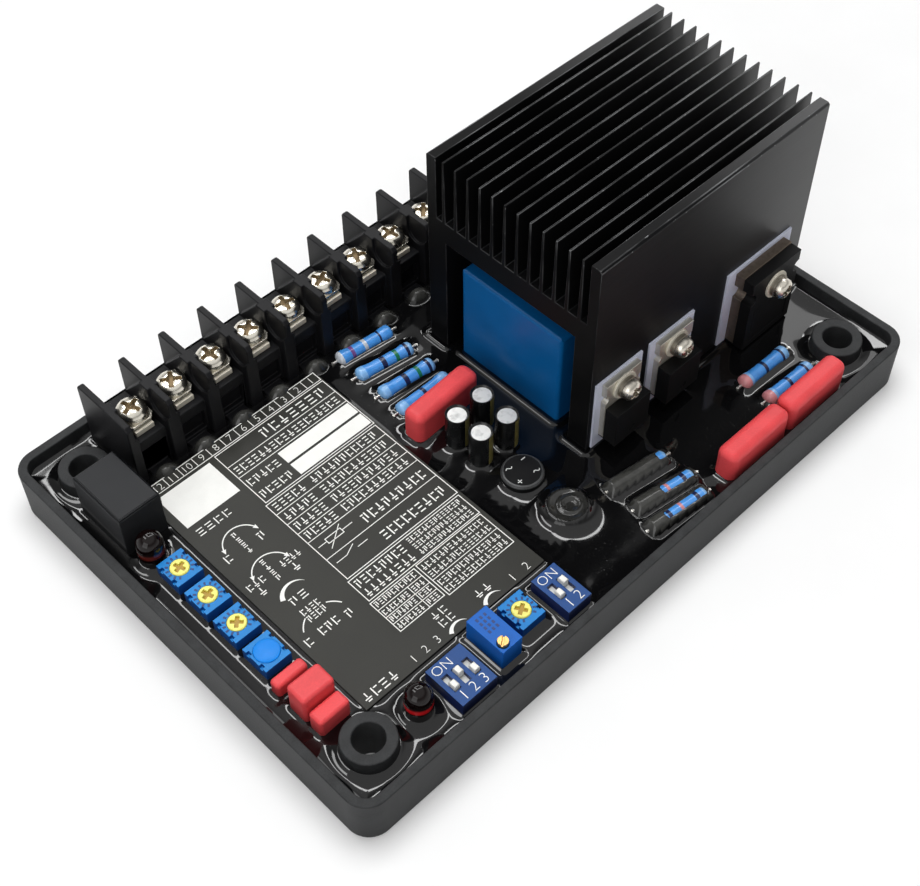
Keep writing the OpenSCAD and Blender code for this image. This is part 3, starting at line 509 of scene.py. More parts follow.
# %% [markdown]
# ## Every node gets its finish
# The CAD nodes that keep their own mesh are painted first, by the material slot that the record names.

# %% Paint the CAD nodes
for node, item in frame["nodes"].items():
    item.data.materials.clear()
    item.data.materials.append(finishes[slot_of[node]])
print("painted", len(frame["nodes"]), "nodes")

# %% [markdown]
# ## Housings and small parts with one finish
# The width of a rounded edge is a few tenths of a millimetre: wide on the tray's rim, hardly more than a
# broken edge on stamped metal. The table holds the widths in millimetres, and a loop does the rest.

# %% Round the plain pieces
EDGES = {
    "tray": 0.3,
    "terminal_block": 0.3,
    "terminal_plates": 0.1,
    "terminal_clamps": 0.12,
    "relay": 0.22,
    "transistor_flat_washers": 0.07,
    "transistor_spring_washers": 0.06,
    "transistor_screws": 0.09,
    "multiturn_body": 0.16,
    "multiturn_screw": 0.08,
    "label_plate": 0.06,
    "trimmer_d_seal": 0.12,
}
EDGES |= {f"insulator_pad_{letter}": 0.04 for letter in "abc"}
EDGES |= {f"transistor_{letter}_tab": 0.09 for letter in "abc"}
EDGES |= {f"transistor_{letter}_body": 0.12 for letter in "abc"}
EDGES |= {node: 0.12 for node in frame["nodes"] if "_slider_" in node}

for node, width in EDGES.items():
    soften(node, width)
print("rounded", len(EDGES), "nodes")

# %% [markdown]
# ## Heatsink, screws and rotors with a second finish
# Some pieces show two finishes. The heatsink's bevels are painted paler, a painted highlight with some real
# wear, and its inner fins get the slight taper of such an extrusion, down to thin tips. The terminal screws are
# bright, but the cross slot in the head is dull and brownish. A small test on each face picks its finish.

# %% Round the pieces with two finishes
FIN_TIP = 0.45 * MM


def taper_fins(bm):
    """Draws the inner fins in towards their tips and leaves the two thick outer ones straight."""
    tips = [vert for vert in bm.verts if vert.co.z > SINK_TOP - 0.1 * MM]
    sides = sorted({round(vert.co.y / MM, 2) for vert in tips})
    draft = ((sides[3] - sides[2]) * MM - FIN_TIP) / 2
    for vert in tips:
        side = sides.index(round(vert.co.y / MM, 2))
        if 2 <= side < len(sides) - 2:
            vert.co.y += -draft if side % 2 else draft
    print("fin sides tapered:", len(sides) - 4)


soften("heatsink", 0.14, [edge_wear_and_highlight], edge_part=1, shape=taper_fins)
# The rectifier's rounded rim is painted a paler grey than its body: a painted highlight
rim_painted_highlight = moulding("rim_painted_highlight", (60, 61, 62), 0.3, 0.2, 0.01, 2, 0.3)
soften("bridge_rectifier", 0.25, [rim_painted_highlight], edge_part=1)

SCREW_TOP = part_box("terminal_screws")[1].z


def screw_part(face):
    """1 for the floor and the walls of the cross slot, 0 for the rest of the screw."""
    deep = SCREW_TOP - face.calc_center_median().z
    return 1 if 0.45 * MM < deep < 1.6 * MM and face.normal.z > 0.7 else 0


soften("terminal_screws", 0.09, [recess_finish], screw_part)

ROTOR_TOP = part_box("trimmer_a_rotor")[1].z
# The rotors' cross slots are painted a darker gold than the crown: painted shade
rotor_slot = moulding("rotor_slot", (170, 136, 36), 0.45, 0.2, 0.004, 1, 0.1)


def rotor_part(face):
    """1 inside the cross slot of a rotor, which is painted shade, 0 on its crown."""
    centre = face.calc_center_median()
    return 1 if centre.z < ROTOR_TOP - 0.1 * MM and face.normal.z > 0.9 else 0


for letter in "abce":
    soften(f"trimmer_{letter}_rotor", 0.05, [rotor_slot], rotor_part)
print("rounded the pieces with two finishes")

# %% [markdown]
# ## Switch housings and trimmer blocks
# The slide switches have slots whose floor is the grey slider sheet, and their sides are painted a darker navy,
# painted shade. The square trimmers are painted a deeper blue at the sides, painted shade, and keep their own
# blue on top. Again a test on each face, by its height and direction, picks the finish.

# %% Switches and trimmers
DIP_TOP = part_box("dip_three_body")[1].z
TRIM_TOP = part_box("trimmer_a_body")[1].z
# Darker sides for the switches and the trimmers: painted shade
navy_painted_shade = moulding("navy_painted_shade", (20, 36, 84), 0.4, 0.2, 0.004, 4, 0.1)
trimmer_painted_shade = moulding("trimmer_painted_shade", (8, 82, 164), 0.42, 0.2, 0.005, 3, 0.1)


def switch_part(face):
    """0 on top of a switch, 1 on the floor of its slots, 2 on its sides, which are painted shade."""
    if face.normal.z < 0.5:
        return 2
    return 0 if face.calc_center_median().z > DIP_TOP - 0.2 * MM else 1


def trimmer_part(face):
    """0 on the top of a trimmer, 1 on its sides, which are painted shade."""
    return 0 if face.normal.z > 0.5 else 1


for node in ("dip_three_body", "dip_two_body"):
    soften(node, 0.1, [slot_grey, navy_painted_shade], switch_part)
for letter in "abcde":
    soften(f"trimmer_{letter}_body", 0.1, [trimmer_painted_shade], trimmer_part)
print("switches and trimmers dressed")

# %% [markdown]
# ## Film capacitors
# The red capacitors are dipped in thick lacquer, which runs off the edges, so they look like small pillows. A
# block of the CAD solid's size and direction gets very wide rounded edges. The three small ones at the left
# are dipped thinner.

# %% Film capacitors
DIPPED = 1.8
DIPPED_THIN = 0.8
DIPPED_SHARE = 0.36


def pillow(node):
    """Replaces a film capacitor by a block with edges that are rounded like dipped lacquer."""
    bm = cad_copy(node)
    centre, way, length, half_tall = rod_of(bm.verts)
    side = Vector((-way.y, way.x, 0.0))
    wide = np.ptp([v.co.dot(side) for v in bm.verts])
    bm.free()
    block = bmesh.new()
    axes = Matrix((way * length, side * wide, Vector((0, 0, 2 * half_tall)))).transposed().to_4x4()
    bmesh.ops.create_cube(block, size=1.0, matrix=Matrix.Translation(centre) @ axes)
    piece = place(node + "_dipped", block, [finishes["red_case"]], "base", [node])
    radius = DIPPED_THIN if "left" in node else DIPPED
    return round_edges(piece, min(radius, DIPPED_SHARE * wide / MM), 6)


for node in [node for node in frame["nodes"] if node.startswith("film_capacitor")]:
    pillow(node)
print("film capacitors dipped")

# %% [markdown]
# ## Small capacitor cans with a stripe
# Each can wears a shrunk black sleeve with a dull gold stripe that marks one lead. The stripe is print on the
# sleeve, so the faces of the sleeve that look its way take another finish. Its edge lies between the middles
# of two faces, so that rounding never decides which faces it takes.

# %% Sleeves
STRIPE_WAY = math.radians(-60)
STRIPE_HALF = math.radians(31)


def dress_sleeves():
    """Copies the sleeves and paints the stripe on each of them."""
    bm = cad_copy("electrolytic_sleeves")
    for group in islands(bm):
        middle = sum((v.co for v in group), Vector()) / len(group)
        for face in {face for v in group for face in v.link_faces}:
            out = face.calc_center_median() - middle
            apart = abs(math.remainder(math.atan2(out.y, out.x) - STRIPE_WAY, math.tau))
            face.material_index = 1 if apart < STRIPE_HALF and abs(face.normal.z) < 0.6 else 0
            face.smooth = True
    parts = [finishes["black_sleeve"], stripe_gold]
    piece = place("electrolytic_sleeves_dressed", bm, parts, "base", ["electrolytic_sleeves"])
    piece.data.set_sharp_from_angle(angle=SHARP)
    return piece


dress_sleeves()
print("four sleeves striped")

# %% [markdown]
# ## Resistors
# A film resistor is a ceramic rod with a cap pressed on each end, dipped in blue lacquer, so it is thicker at
# its ends, and coloured bands run round it. A turned profile gives that shape: rings of points are placed
# along the rod, and each ring of faces takes the lacquer of the band it lies in. The rods' places come from
# the CAD solids.

# %% Resistor helpers
RING = 28
STEPS = 48
TIP_SHARE = 0.07
CAP_SHARE = 0.19
CAP_BLEND = 0.018
WAIST = 0.86
LEAST = 0.16
TURNS = [math.tau * k / RING for k in range(RING)]


def join_rings(bm, rings, parts):
    """Joins rings of vertices to a closed turned piece, with a finish number for each band of faces."""
    for low, high, part in zip(rings, rings[1:], parts):
        for k in range(RING):
            face = bm.faces.new((low[k - 1], low[k], high[k], high[k - 1]))
            face.material_index = part
            face.smooth = True
    bm.faces.new(rings[0][::-1])
    bm.faces.new(rings[-1])


def rod_radius(share):
    """Radius of the dipped rod, as a share of its thickest, at a share of its length."""
    near = min(share, 1 - share)
    tip = math.sqrt(max(0.0, 1 - (1 - min(1.0, near / TIP_SHARE)) ** 2))
    waist = WAIST + (1 - WAIST) * (1 - 1 / (1 + math.exp(-(near - CAP_SHARE) / CAP_BLEND)))
    return max(LEAST, tip * waist)


def add_rod(bm, rod, bands, order):
    """Turns one resistor; bands are (start, end, lacquer) as shares of its length."""
    centre, way, length, radius = rod
    side = way.cross(Vector((0, 0, 1)))
    up = Vector((0, 0, 1))
    cuts = sorted({i / STEPS for i in range(STEPS + 1)} | {cut for band in bands for cut in band[:2]})
    rings = []
    for cut in cuts:
        reach = radius * rod_radius(cut)
        hub = centre + way * length * (cut - 0.5)
        rings.append([bm.verts.new(hub + (side * math.cos(t) + up * math.sin(t)) * reach) for t in TURNS])
    parts = []
    for start, end in zip(cuts, cuts[1:]):
        middle = (start + end) / 2
        lacquer = next((name for first, last, name in bands if first <= middle < last), "blue")
        parts.append(order.index(lacquer))
    join_rings(bm, rings, parts)


print("resistor helpers ready")

# %% Resistors
PLAIN_BANDS = [(0.0, 0.16, "pale"), (0.47, 0.53, "navy"), (0.84, 1.0, "pale")]
GREEN_BANDS = [(0.0, 0.14, "pale"), (0.42, 0.5, "navy"), (0.66, 0.72, "green"), (0.85, 0.9, "navy"),
               (0.9, 1.0, "pale")]
VIOLET_BANDS = [(0.0, 0.08, "silver"), (0.23, 0.29, "violet"), (0.46, 0.52, "silver"), (0.74, 0.77, "navy")]
PINK_BANDS = [(0.0, 0.13, "pink"), (0.13, 0.18, "pale"), (0.45, 0.51, "navy"), (0.82, 0.86, "navy"),
              (0.86, 1.0, "pale")]
MIXED_BANDS = [(0.0, 0.1, "silver"), (0.28, 0.34, "navy"), (0.5, 0.55, "pink"), (0.78, 0.84, "navy"),
               (0.92, 1.0, "pale")]
BANDS = {
    "resistors_rear": [PLAIN_BANDS, GREEN_BANDS, GREEN_BANDS, VIOLET_BANDS],
    "resistors_right": [PINK_BANDS, PINK_BANDS],
    "resistors_front": [MIXED_BANDS, MIXED_BANDS, MIXED_BANDS],
}


def rods_of(node):
    """The rods of a node from front to rear."""
    bm = cad_copy(node)
    rods = sorted((rod_of(group) for group in islands(bm)), key=lambda rod: rod[0].y)
    bm.free()
    return rods


rods = {node: rods_of(node) for node in BANDS}
order = list(lacquers)
for node, bands in BANDS.items():
    turned = bmesh.new()
    for rod, its_bands in zip(rods[node], bands):
        add_rod(turned, rod, its_bands, order)
    bmesh.ops.recalc_face_normals(turned, faces=turned.faces)
    place(node + "_turned", turned, list(lacquers.values()), "base", [node])
    print(node, "rods", len(rods[node]), "length", [round(rod[2] / MM, 1) for rod in rods[node]])

# %% [markdown]
# ## Lamps
# A lamp's lens is turned like a resistor, but round an upright axis: a straight wall with a thin coat of
# resin and a dome on top.

# %% Lamp lenses
LENS_R = 2.8 * MM
DOME = 2.9 * MM
DOME_STEPS = 12
DOME_END = 0.99


def turn_lens(node, finish):
    """Replaces a lamp by a turned lens with a dome."""
    low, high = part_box(node)
    middle = (low + high) / 2
    bends = [math.pi / 2 * k / DOME_STEPS for k in range(DOME_STEPS)] + [math.pi / 2 * DOME_END]
    dome = [(LENS_R * math.cos(t), high.z + DOME * (math.sin(t) - 1)) for t in bends]
    bm = bmesh.new()
    rings = []
    for reach, level in [(LENS_R, low.z), *dome]:
        rings.append([bm.verts.new((middle.x + reach * math.cos(t), middle.y + reach * math.sin(t), level))
                      for t in TURNS])
    join_rings(bm, rings, [0] * len(dome))
    place(node + "_lens", bm, [finish], body_of[node], [node])


turn_lens("led_front", finishes["red_lens"])
turn_lens("led_left", coated_lens)
print("two lenses turned")

# %% [markdown]
# ## The resin surface
# Liquid resin creeps up every wall before it sets, so a bright curved line, a meniscus, runs along the tray
# and round every part. It could be modelled part by part, but one height field does it all: each point of a
# fine grid gets the lift of every outline near it, which fades with distance. Outlines come from the CAD
# solids where they pass through the resin. The lifts are in millimetres. Before the box capacitor and the
# heatsink's legs the resin lies in a rounded roll instead.

# %% Outlines that stand in the resin
RESIN_LOW, RESIN_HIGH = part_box("potting")
LEVEL = RESIN_HIGH.z
RISE = 0.65
ROD_RISE = 0.5
ROLL_RISE = 0.45
STRIP_RISE = 0.35
LOW_RISE = 0.3
LAMP_RISE = 1.0
LOW_RISERS = ("label_plate", "transistor", "insulator", "relay", "film_capacitor_left",
              "trimmer_a_body", "trimmer_b_body", "trimmer_c_body", "trimmer_d_body")
ROLLED = {"box_capacitor"}
NO_OUTLINE = {"tray", "circuit_board", "potting", "resistor_leads", "resistors_front", "coated_rectifier",
              "heatsink", "electrolytic_cans", "terminal_block"}


def rise_at(node):
    """How far the resin creeps up a node."""
    if node in ROLLED:
        return ROLL_RISE
    if node.startswith("led"):
        return LAMP_RISE
    if node.startswith("resistors"):
        return ROD_RISE
    return LOW_RISE if node.startswith(LOW_RISERS) else RISE


def hull_of(points):
    """Corners of the tightest convex outline round some points, anticlockwise."""
    flat = [Vector(point[:2]) for point in points]
    return [tuple(flat[i]) for i in geometry.convex_hull_2d(flat)]


def resin_outlines():
    """(outline, rise in metres, rolled or not) for every solid that the resin touches."""
    found = []
    for node in frame["nodes"]:
        if node in NO_OUTLINE:
            continue
        bm = cad_copy(node)
        for group in islands(bm):
            low = [v.co for v in group if v.co.z < LEVEL]
            if len(low) > 2:
                found.append((hull_of(low), rise_at(node) * MM, node in ROLLED))
        bm.free()
    legs = [v.co for v in frame["nodes"]["heatsink"].data.vertices if v.co.z < LEVEL]
    middle = sum(leg.y for leg in legs) / len(legs)
    for keep in (lambda y: y < middle, lambda y: y > middle):
        found.append((hull_of([leg for leg in legs if keep(leg.y)]), ROLL_RISE * MM, True))
    high_up = LEVEL + 5 * MM
    strip = [v.co for v in frame["nodes"]["terminal_block"].data.vertices if v.co.z > high_up]
    found.append((hull_of(strip), STRIP_RISE * MM, False))
    return found


outlines = resin_outlines()
print("outlines in the resin:", len(outlines))

# %% Resin grid and helpers
CELL = 0.3 * MM
REACH = 1.4 * MM
WALL_RISE = 0.85 * MM
WALL_REACH = 1.6 * MM
ROLL_OUT = 0.9 * MM
ROLL_WIDE = 0.8 * MM
UNION = 3
wide = RESIN_HIGH - RESIN_LOW
columns = round(wide.x / CELL)
rows = round(wide.y / CELL)
xs = np.linspace(RESIN_LOW.x, RESIN_HIGH.x, columns + 1)
ys = np.linspace(RESIN_LOW.y, RESIN_HIGH.y, rows + 1)
grid_x, grid_y = np.meshgrid(xs, ys)


def outline_distance(outline, x, y):
    """Distance of points from a convex outline, below zero inside it."""
    nearest = np.full(x.shape, np.inf)
    beyond = np.full(x.shape, -np.inf)
    for (ax, ay), (bx, by) in zip(outline, outline[1:] + outline[:1]):
        ex, ey = bx - ax, by - ay
        span = max(math.hypot(ex, ey), 1e-9)
        share = np.clip(((x - ax) * ex + (y - ay) * ey) / span ** 2, 0, 1)
        nearest = np.minimum(nearest, np.hypot(x - ax - share * ex, y - ay - share * ey))
        beyond = np.maximum(beyond, ((x - ax) * ey - (y - ay) * ex) / span)
    return np.where(beyond < 0, beyond, nearest)


def soft_step(value, low, high):
    """0 below low, 1 above high and smooth between them."""
    share = np.clip((value - low) / (high - low), 0, 1)
    return share * share * (3 - 2 * share)


def meniscus(distance, rise, reach=REACH):
    """Lift of the resin at a distance from what it creeps up."""
    return rise * np.exp(-np.maximum(distance, 0) / reach)


def roll(distance, rise):
    """Lift of a rounded roll of resin that lies in front of a part."""
    return rise * np.exp(-((distance - ROLL_OUT) / ROLL_WIDE) ** 2)


print("grid", columns, "by", rows, "cells")

# %% Lift at the walls, parts and bosses
wall_gap = np.minimum.reduce([grid_x - xs[0], xs[-1] - grid_x, grid_y - ys[0], ys[-1] - grid_y])
lift = meniscus(wall_gap, WALL_RISE, WALL_REACH) ** UNION
margin = 8 * REACH
for outline, rise, rolled in outlines:
    corners = np.array(outline)
    left, right = np.searchsorted(xs, (corners[:, 0].min() - margin, corners[:, 0].max() + margin))
    front, back = np.searchsorted(ys, (corners[:, 1].min() - margin, corners[:, 1].max() + margin))
    window = (slice(front, back), slice(left, right))
    gap = outline_distance(outline, grid_x[window], grid_y[window])
    lift[window] += (roll if rolled else meniscus)(gap, rise) ** UNION
hole_dims = next(mount["dims"] for mount in record["mounts"] if mount["name"] == "tray_holes")
HOLE_X = hole_dims["spacing_x_mm"] * MM / 2
HOLE_Y = hole_dims["spacing_y_mm"] * MM / 2
BOSS_R = 5.7 * MM
boss_gap = np.hypot(np.abs(grid_x) - HOLE_X, np.abs(grid_y) - HOLE_Y) - BOSS_R
lift += meniscus(boss_gap, WALL_RISE, WALL_REACH) ** UNION
height = LEVEL + lift ** (1 / UNION)
print("highest lift", round((height.max() - LEVEL) / MM, 2), "mm")

# %% [markdown]
# Resin also runs over low parts. It films over the three front resistors, leaves some of their length bare,
# and fills a shallow dish over the round rectifier beside them. In front of the terminal strip it stands in
# small beads, one at each pole, where it was poured round the strip's foot. The dish and the beads are painted
# grey as a painted sheen.

# %% Resin over low parts
FILM = 0.14 * MM
BARE = [(0.27, 0.97), (0.45, 0.98), (0.86, 1.02)]
BARE_BLEND = 0.04
BARE_DROP = 0.3 * MM
END_IN, END_OUT = 0.02, 0.1
SKIRT_RISE = 0.55 * MM
SHARES = np.linspace(0, 1, 60)
PROFILE = [rod_radius(share) for share in SHARES]
film = np.zeros_like(height)

for (centre, way, length, radius), (bare_from, bare_to) in zip(rods["resistors_front"], BARE):
    along = ((grid_x - centre.x) * way.x + (grid_y - centre.y) * way.y) / length + 0.5
    across = (grid_y - centre.y) * way.x - (grid_x - centre.x) * way.y
    bare = soft_step(along, bare_from - BARE_BLEND, bare_from)
    bare *= 1 - soft_step(along, bare_to, bare_to + BARE_BLEND)
    cover = radius + FILM
    crest = radius * np.interp(along, SHARES, PROFILE) - BARE_DROP
    ends = soft_step(along, -END_OUT, END_IN) * (1 - soft_step(along, 1 - END_IN, 1 + END_OUT))
    vault = np.sqrt(np.maximum(cover ** 2 - across ** 2, 0))
    dome = centre.z + np.minimum(vault, cover + bare * (crest - cover))
    skirt = meniscus(np.abs(across) - cover, SKIRT_RISE) * ends
    ridge = np.where(np.abs(across) < cover, dome - LEVEL, 0) * ends
    height = np.maximum(height, LEVEL + np.maximum(ridge, skirt))
    film = np.maximum(film, ends * (1 - 0.5 * bare) * (np.abs(across) < radius))
print("filmed", len(BARE), "resistors")

# %% Resin over the rectifier and at the strip
DISH_EDGE = 0.5 * MM
DISH_LIP = 0.35 * MM
DISH_REACH = 1.2 * MM
DISH_FLAT, DISH_RIM, DISH_OUT = 0.45, 0.88, 0.97
RIPPLE = 0.45 * MM
RIPPLE_AT = 0.42
RIPPLE_WIDE = 0.6 * MM
RIPPLE_OFF = Vector((0.6, -0.3)) * MM
BEAD = Vector((2.4, 1.7, 1.9)) * MM
BEAD_OUT = 0.6 * MM

low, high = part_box("coated_rectifier")
dish_mid = (low + high) / 2
dish_r = (high.x - low.x) / 2
from_mid = np.hypot(grid_x - dish_mid.x, grid_y - dish_mid.y)
crown = high.z - LEVEL + FILM
shoulder = crown + DISH_EDGE * soft_step(from_mid, DISH_FLAT * dish_r, DISH_RIM * dish_r)
off_mid = np.hypot(grid_x - dish_mid.x - RIPPLE_OFF.x, grid_y - dish_mid.y - RIPPLE_OFF.y)
shoulder += RIPPLE * np.exp(-((off_mid - RIPPLE_AT * dish_r) / RIPPLE_WIDE) ** 2)
# Grey over the dish: a painted sheen
film = np.maximum(film, 0.45 * (from_mid < 0.9 * dish_r))
outside = meniscus(from_mid - dish_r, crown + DISH_LIP, DISH_REACH)
height = np.maximum(height, LEVEL + np.where(from_mid < DISH_OUT * dish_r, shoulder, outside))

bm = cad_copy("terminal_screws")
poles = sorted((sum((v.co for v in group), Vector()) / len(group)).x for group in islands(bm))
bm.free()
strip_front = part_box("terminal_block")[0].y
for pole in poles:
    far_out = ((grid_x - pole) / BEAD.x) ** 2 + ((grid_y - strip_front + BEAD_OUT) / BEAD.y) ** 2
    height = np.maximum(height, LEVEL + BEAD.z * np.exp(-far_out ** 1.5))
    # Grey on the beads: a painted sheen
    film = np.maximum(film, 1.1 * np.exp(-far_out ** 2))
print("filmed one rectifier,", len(poles), "beads at the strip")

# %% [markdown]
# The grid is fine, so it is cut into three closed pieces, under the label and under the heatsink where no cut
# shows. Their shading takes its directions from the slopes of the height field, so it runs on over the cuts.

# %% Resin mesh
BOSS_LAP = 1.2 * MM
slope_y, slope_x = np.gradient(height, ys, xs)
solid = boss_gap > -BOSS_LAP
whole = solid[:-1, :-1] & solid[1:, 1:] & solid[:-1, 1:] & solid[1:, :-1]


def resin_mesh(first, last):
    """A closed solid under the height field between two columns, open where the four bosses stand."""
    bm = bmesh.new()
    mark = bm.verts.layers.float.new("film")
    points = []
    for j in range(rows + 1):
        points.append([bm.verts.new((xs[i], ys[j], height[j, i])) for i in range(first, last + 1)])
        for i, vertex in enumerate(points[j]):
            vertex[mark] = film[j, first + i]
    for j in range(rows):
        low, high = points[j], points[j + 1]
        for i in np.flatnonzero(whole[j, first:last]):
            bm.faces.new((low[i], low[i + 1], high[i + 1], high[i])).smooth = True
    bmesh.ops.delete(bm, geom=[v for v in bm.verts if not v.link_faces], context="VERTS")
    rim = [edge for edge in bm.edges if edge.is_boundary]
    skirt = bmesh.ops.extrude_edge_only(bm, edges=rim)["geom"]
    for item in skirt:
        if isinstance(item, bmesh.types.BMVert):
            item.co.z = RESIN_LOW.z
    foot = [item for item in skirt if isinstance(item, bmesh.types.BMEdge) and item.is_boundary]
    bmesh.ops.triangle_fill(bm, edges=foot, use_beauty=True)
    bmesh.ops.recalc_face_normals(bm, faces=bm.faces)
    return bm


print("resin has", int(whole.sum()), "whole cells")


# %% Resin pieces and their shading
def slope_shading(mesh):
    """Shades the upper side by the slopes of the height field and every other face as flat."""
    corners = np.array([loop.vertex_index for loop in mesh.loops])
    spots = np.array([vertex.co[:] for vertex in mesh.vertices])
    i = np.rint((spots[:, 0] - xs[0]) / (xs[1] - xs[0])).astype(int)
    j = np.rint((spots[:, 1] - ys[0]) / (ys[1] - ys[0])).astype(int)
    bent = np.stack([-slope_x[j, i], -slope_y[j, i], np.ones(len(spots))], 1)
    sizes = [face.loop_total for face in mesh.polygons]
    upper = np.repeat([face.normal.z > 0.3 for face in mesh.polygons], sizes)
    flat = np.repeat([face.normal[:] for face in mesh.polygons], sizes, axis=0)
    mesh.normals_split_custom_set(np.where(upper[:, None], bent[corners], flat).tolist())


label_mid = sum(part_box("label_plate"), Vector()).x / 2
sink_mid = sum(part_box("heatsink"), Vector()).x / 2
cuts = [0, *np.searchsorted(xs, (label_mid, sink_mid)), columns]
for k, (first, last) in enumerate(zip(cuts, cuts[1:])):
    parts = [finishes["casting_resin"]]
    resin = place(f"resin_fill_{k}", resin_mesh(first, last), parts, "base", ["potting"])
    slope_shading(resin.data)
    print(resin.name, "has", len(resin.data.polygons), "faces")

# %% [markdown]
# ## Print
# Ink lies a few hundredths of a millimetre proud of its surface. An image could carry it, but flat ribbons of
# real geometry stay sharp in close views. One helper lays a ribbon along points with a width at each of them,
# which makes bars, lines, arcs, arrow heads and tapered swooshes alike. Plain digits come from a text curve.

# %% Print helpers
INK = 0.04 * MM
HAIR = 0.03
THIN = 0.02


def ribbon(bm, points, widths, level):
    """A closed flat strip along (x, y) points in metres, with a width at each point."""
    line = [Vector(point) for point in points]
    sections = []
    for k, point in enumerate(line):
        way = (line[min(k + 1, len(line) - 1)] - line[max(k - 1, 0)]).normalized()
        side = Vector((-way.y, way.x)) * max(widths[k], HAIR * MM) / 2
        left, right = point + side, point - side
        corners = ((*right, level), (*left, level), (*left, level + INK), (*right, level + INK))
        sections.append([bm.verts.new(corner) for corner in corners])
    for low, high in zip(sections, sections[1:]):
        for k in range(4):
            bm.faces.new((low[k], low[(k + 1) % 4], high[(k + 1) % 4], high[k]))
    bm.faces.new(sections[0])
    bm.faces.new(sections[-1][::-1])


def digits(bm, text, x, y, level, tall):
    """Plain characters of this height, centred on a point, in metres, with their strokes thinned."""
    curve = bpy.data.curves.new("digits", "FONT")
    curve.body = text
    curve.offset = -THIN
    curve.extrude = INK / 2
    curve.resolution_u = 3
    holder = bpy.data.objects.new("digits", curve)
    mesh = holder.to_mesh()
    spots = np.array([v.co[:] for v in mesh.vertices])
    low, high = spots.min(0), spots.max(0)
    size = tall / (high[1] - low[1])
    middle = (low + high) / 2
    for vertex in mesh.vertices:
        vertex.co.x = x + (vertex.co.x - middle[0]) * size
        vertex.co.y = y + (vertex.co.y - middle[1]) * size
        vertex.co.z += level + INK / 2
    bm.from_mesh(mesh)
    holder.to_mesh_clear()
    bpy.data.objects.remove(holder)
    bpy.data.curves.remove(curve)


def ink_piece(name, bm, ink):
    """Makes a print piece that rides on the base."""
    bmesh.ops.remove_doubles(bm, verts=bm.verts, dist=0.001 * MM)
    bmesh.ops.recalc_face_normals(bm, faces=bm.faces)
    return place(name, bm, [ink], "base")


print("print helpers ready")

# %% [markdown]
# ## The label
# The label is a dark plate with white tables, scales and fields. Rows of small bars fill the tables, the
# field at the corner is bare, and plain numbers stand at the terminals and switches. Places are given in
# millimetres from the plate's front left corner, u to the right and v to the rear.

# %% Label helpers
FINE = 0.16
FRAME_LINE = 0.18
SCALE_LINE = 0.24
ARROW_LONG = 1.1
ARROW_WIDE = 0.95
ARC_STEPS = 14
MARK_PITCH = 0.78
MARK_WIDE = 0.7
STROKE = 0.2
STROKE_SHARE = 0.12
label_low, label_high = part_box("label_plate")
label_print = bmesh.new()
dice = random.Random(7)
MARKS = [
    [((0.0, 0.1), (1.0, 0.1)), ((0.1, 0.5), (0.9, 0.5)), ((0.0, 0.9), (1.0, 0.9))],
    [((0.15, 0.0), (0.15, 1.0)), ((0.45, 0.85), (1.0, 0.85)), ((0.45, 0.2), (1.0, 0.2))],
    [((0.2, 0.0), (0.2, 0.7)), ((0.8, 0.3), (0.8, 1.0)), ((0.0, 0.9), (0.5, 0.9))],
    [((0.0, 0.35), (1.0, 0.35)), ((0.5, 0.5), (0.5, 1.0)), ((0.2, 0.1), (0.8, 0.1))],
]


def on_label(u, v):
    """A point on the label plate."""
    return (label_low.x + u * MM, label_low.y + v * MM)


def line_on_label(points, first, last=None):
    """A line through (u, v) points, with the widths at its two ends; one width will do if they are equal."""
    last = last or first
    steps = len(points) - 1
    widths = [(first + (last - first) * k / steps) * MM for k in range(steps + 1)]
    ribbon(label_print, [on_label(*point) for point in points], widths, label_high.z)


def rule(v, u0, u1):
    """A fine level line at v, from u0 to u1."""
    line_on_label([(u0, v), (u1, v)], FINE)


def field(u0, v0, u1, v1):
    """A filled white field."""
    line_on_label([(u0, (v0 + v1) / 2), (u1, (v0 + v1) / 2)], v1 - v0)


def frame_of(u0, v0, u1, v1):
    """An empty frame of four lines."""
    half = FRAME_LINE / 2
    for v in (v0, v1):
        line_on_label([(u0 - half, v), (u1 + half, v)], FRAME_LINE)
    for u in (u0, u1):
        line_on_label([(u, v0 + half), (u, v1 - half)], FRAME_LINE)


def words(u0, v0, u1, v1, count=None):
    """A row of small marks of three bars each."""
    tall = v1 - v0
    count = count or max(1, round((u1 - u0) / (tall * MARK_PITCH)))
    pitch = (u1 - u0) / count
    broad = pitch * MARK_WIDE
    for k in range(count):
        left = u0 + k * pitch
        for (a, b), (c, d) in MARKS[dice.randrange(len(MARKS))]:
            start, end = (left + broad * a, v0 + tall * b), (left + broad * c, v0 + tall * d)
            line_on_label([start, end], max(STROKE, tall * STROKE_SHARE))


def number(value, u, v, tall):
    """A plain number of this height, centred on (u, v)."""
    digits(label_print, str(value), *on_label(u, v), label_high.z, tall * MM)


print("label helpers ready, plate", [round(side / MM, 1) for side in label_high - label_low], "mm")


# %% Arcs on the label
def polar(u, v, radius, turn):
    """A point at a distance from (u, v), in the direction of an angle."""
    return (u + radius * math.cos(turn), v + radius * math.sin(turn))


def arc(u, v, radius, start, end, first, last=None):
    """An arc round (u, v), from one angle to another in degrees, with the widths at its two ends."""
    turns = [math.radians(start + (end - start) * k / ARC_STEPS) for k in range(ARC_STEPS + 1)]
    line_on_label([polar(u, v, radius, turn) for turn in turns], first, last)


def arrow(u, v, radius, start, end):
    """An arc with an arrow head at each end."""
    arc(u, v, radius, start, end, SCALE_LINE)
    for turn, way in ((start, 1 if start > end else -1), (end, 1 if end > start else -1)):
        root = math.radians(turn)
        tip = root + way * ARROW_LONG / radius
        line_on_label([polar(u, v, radius, root), polar(u, v, radius, tip)], ARROW_WIDE, HAIR)


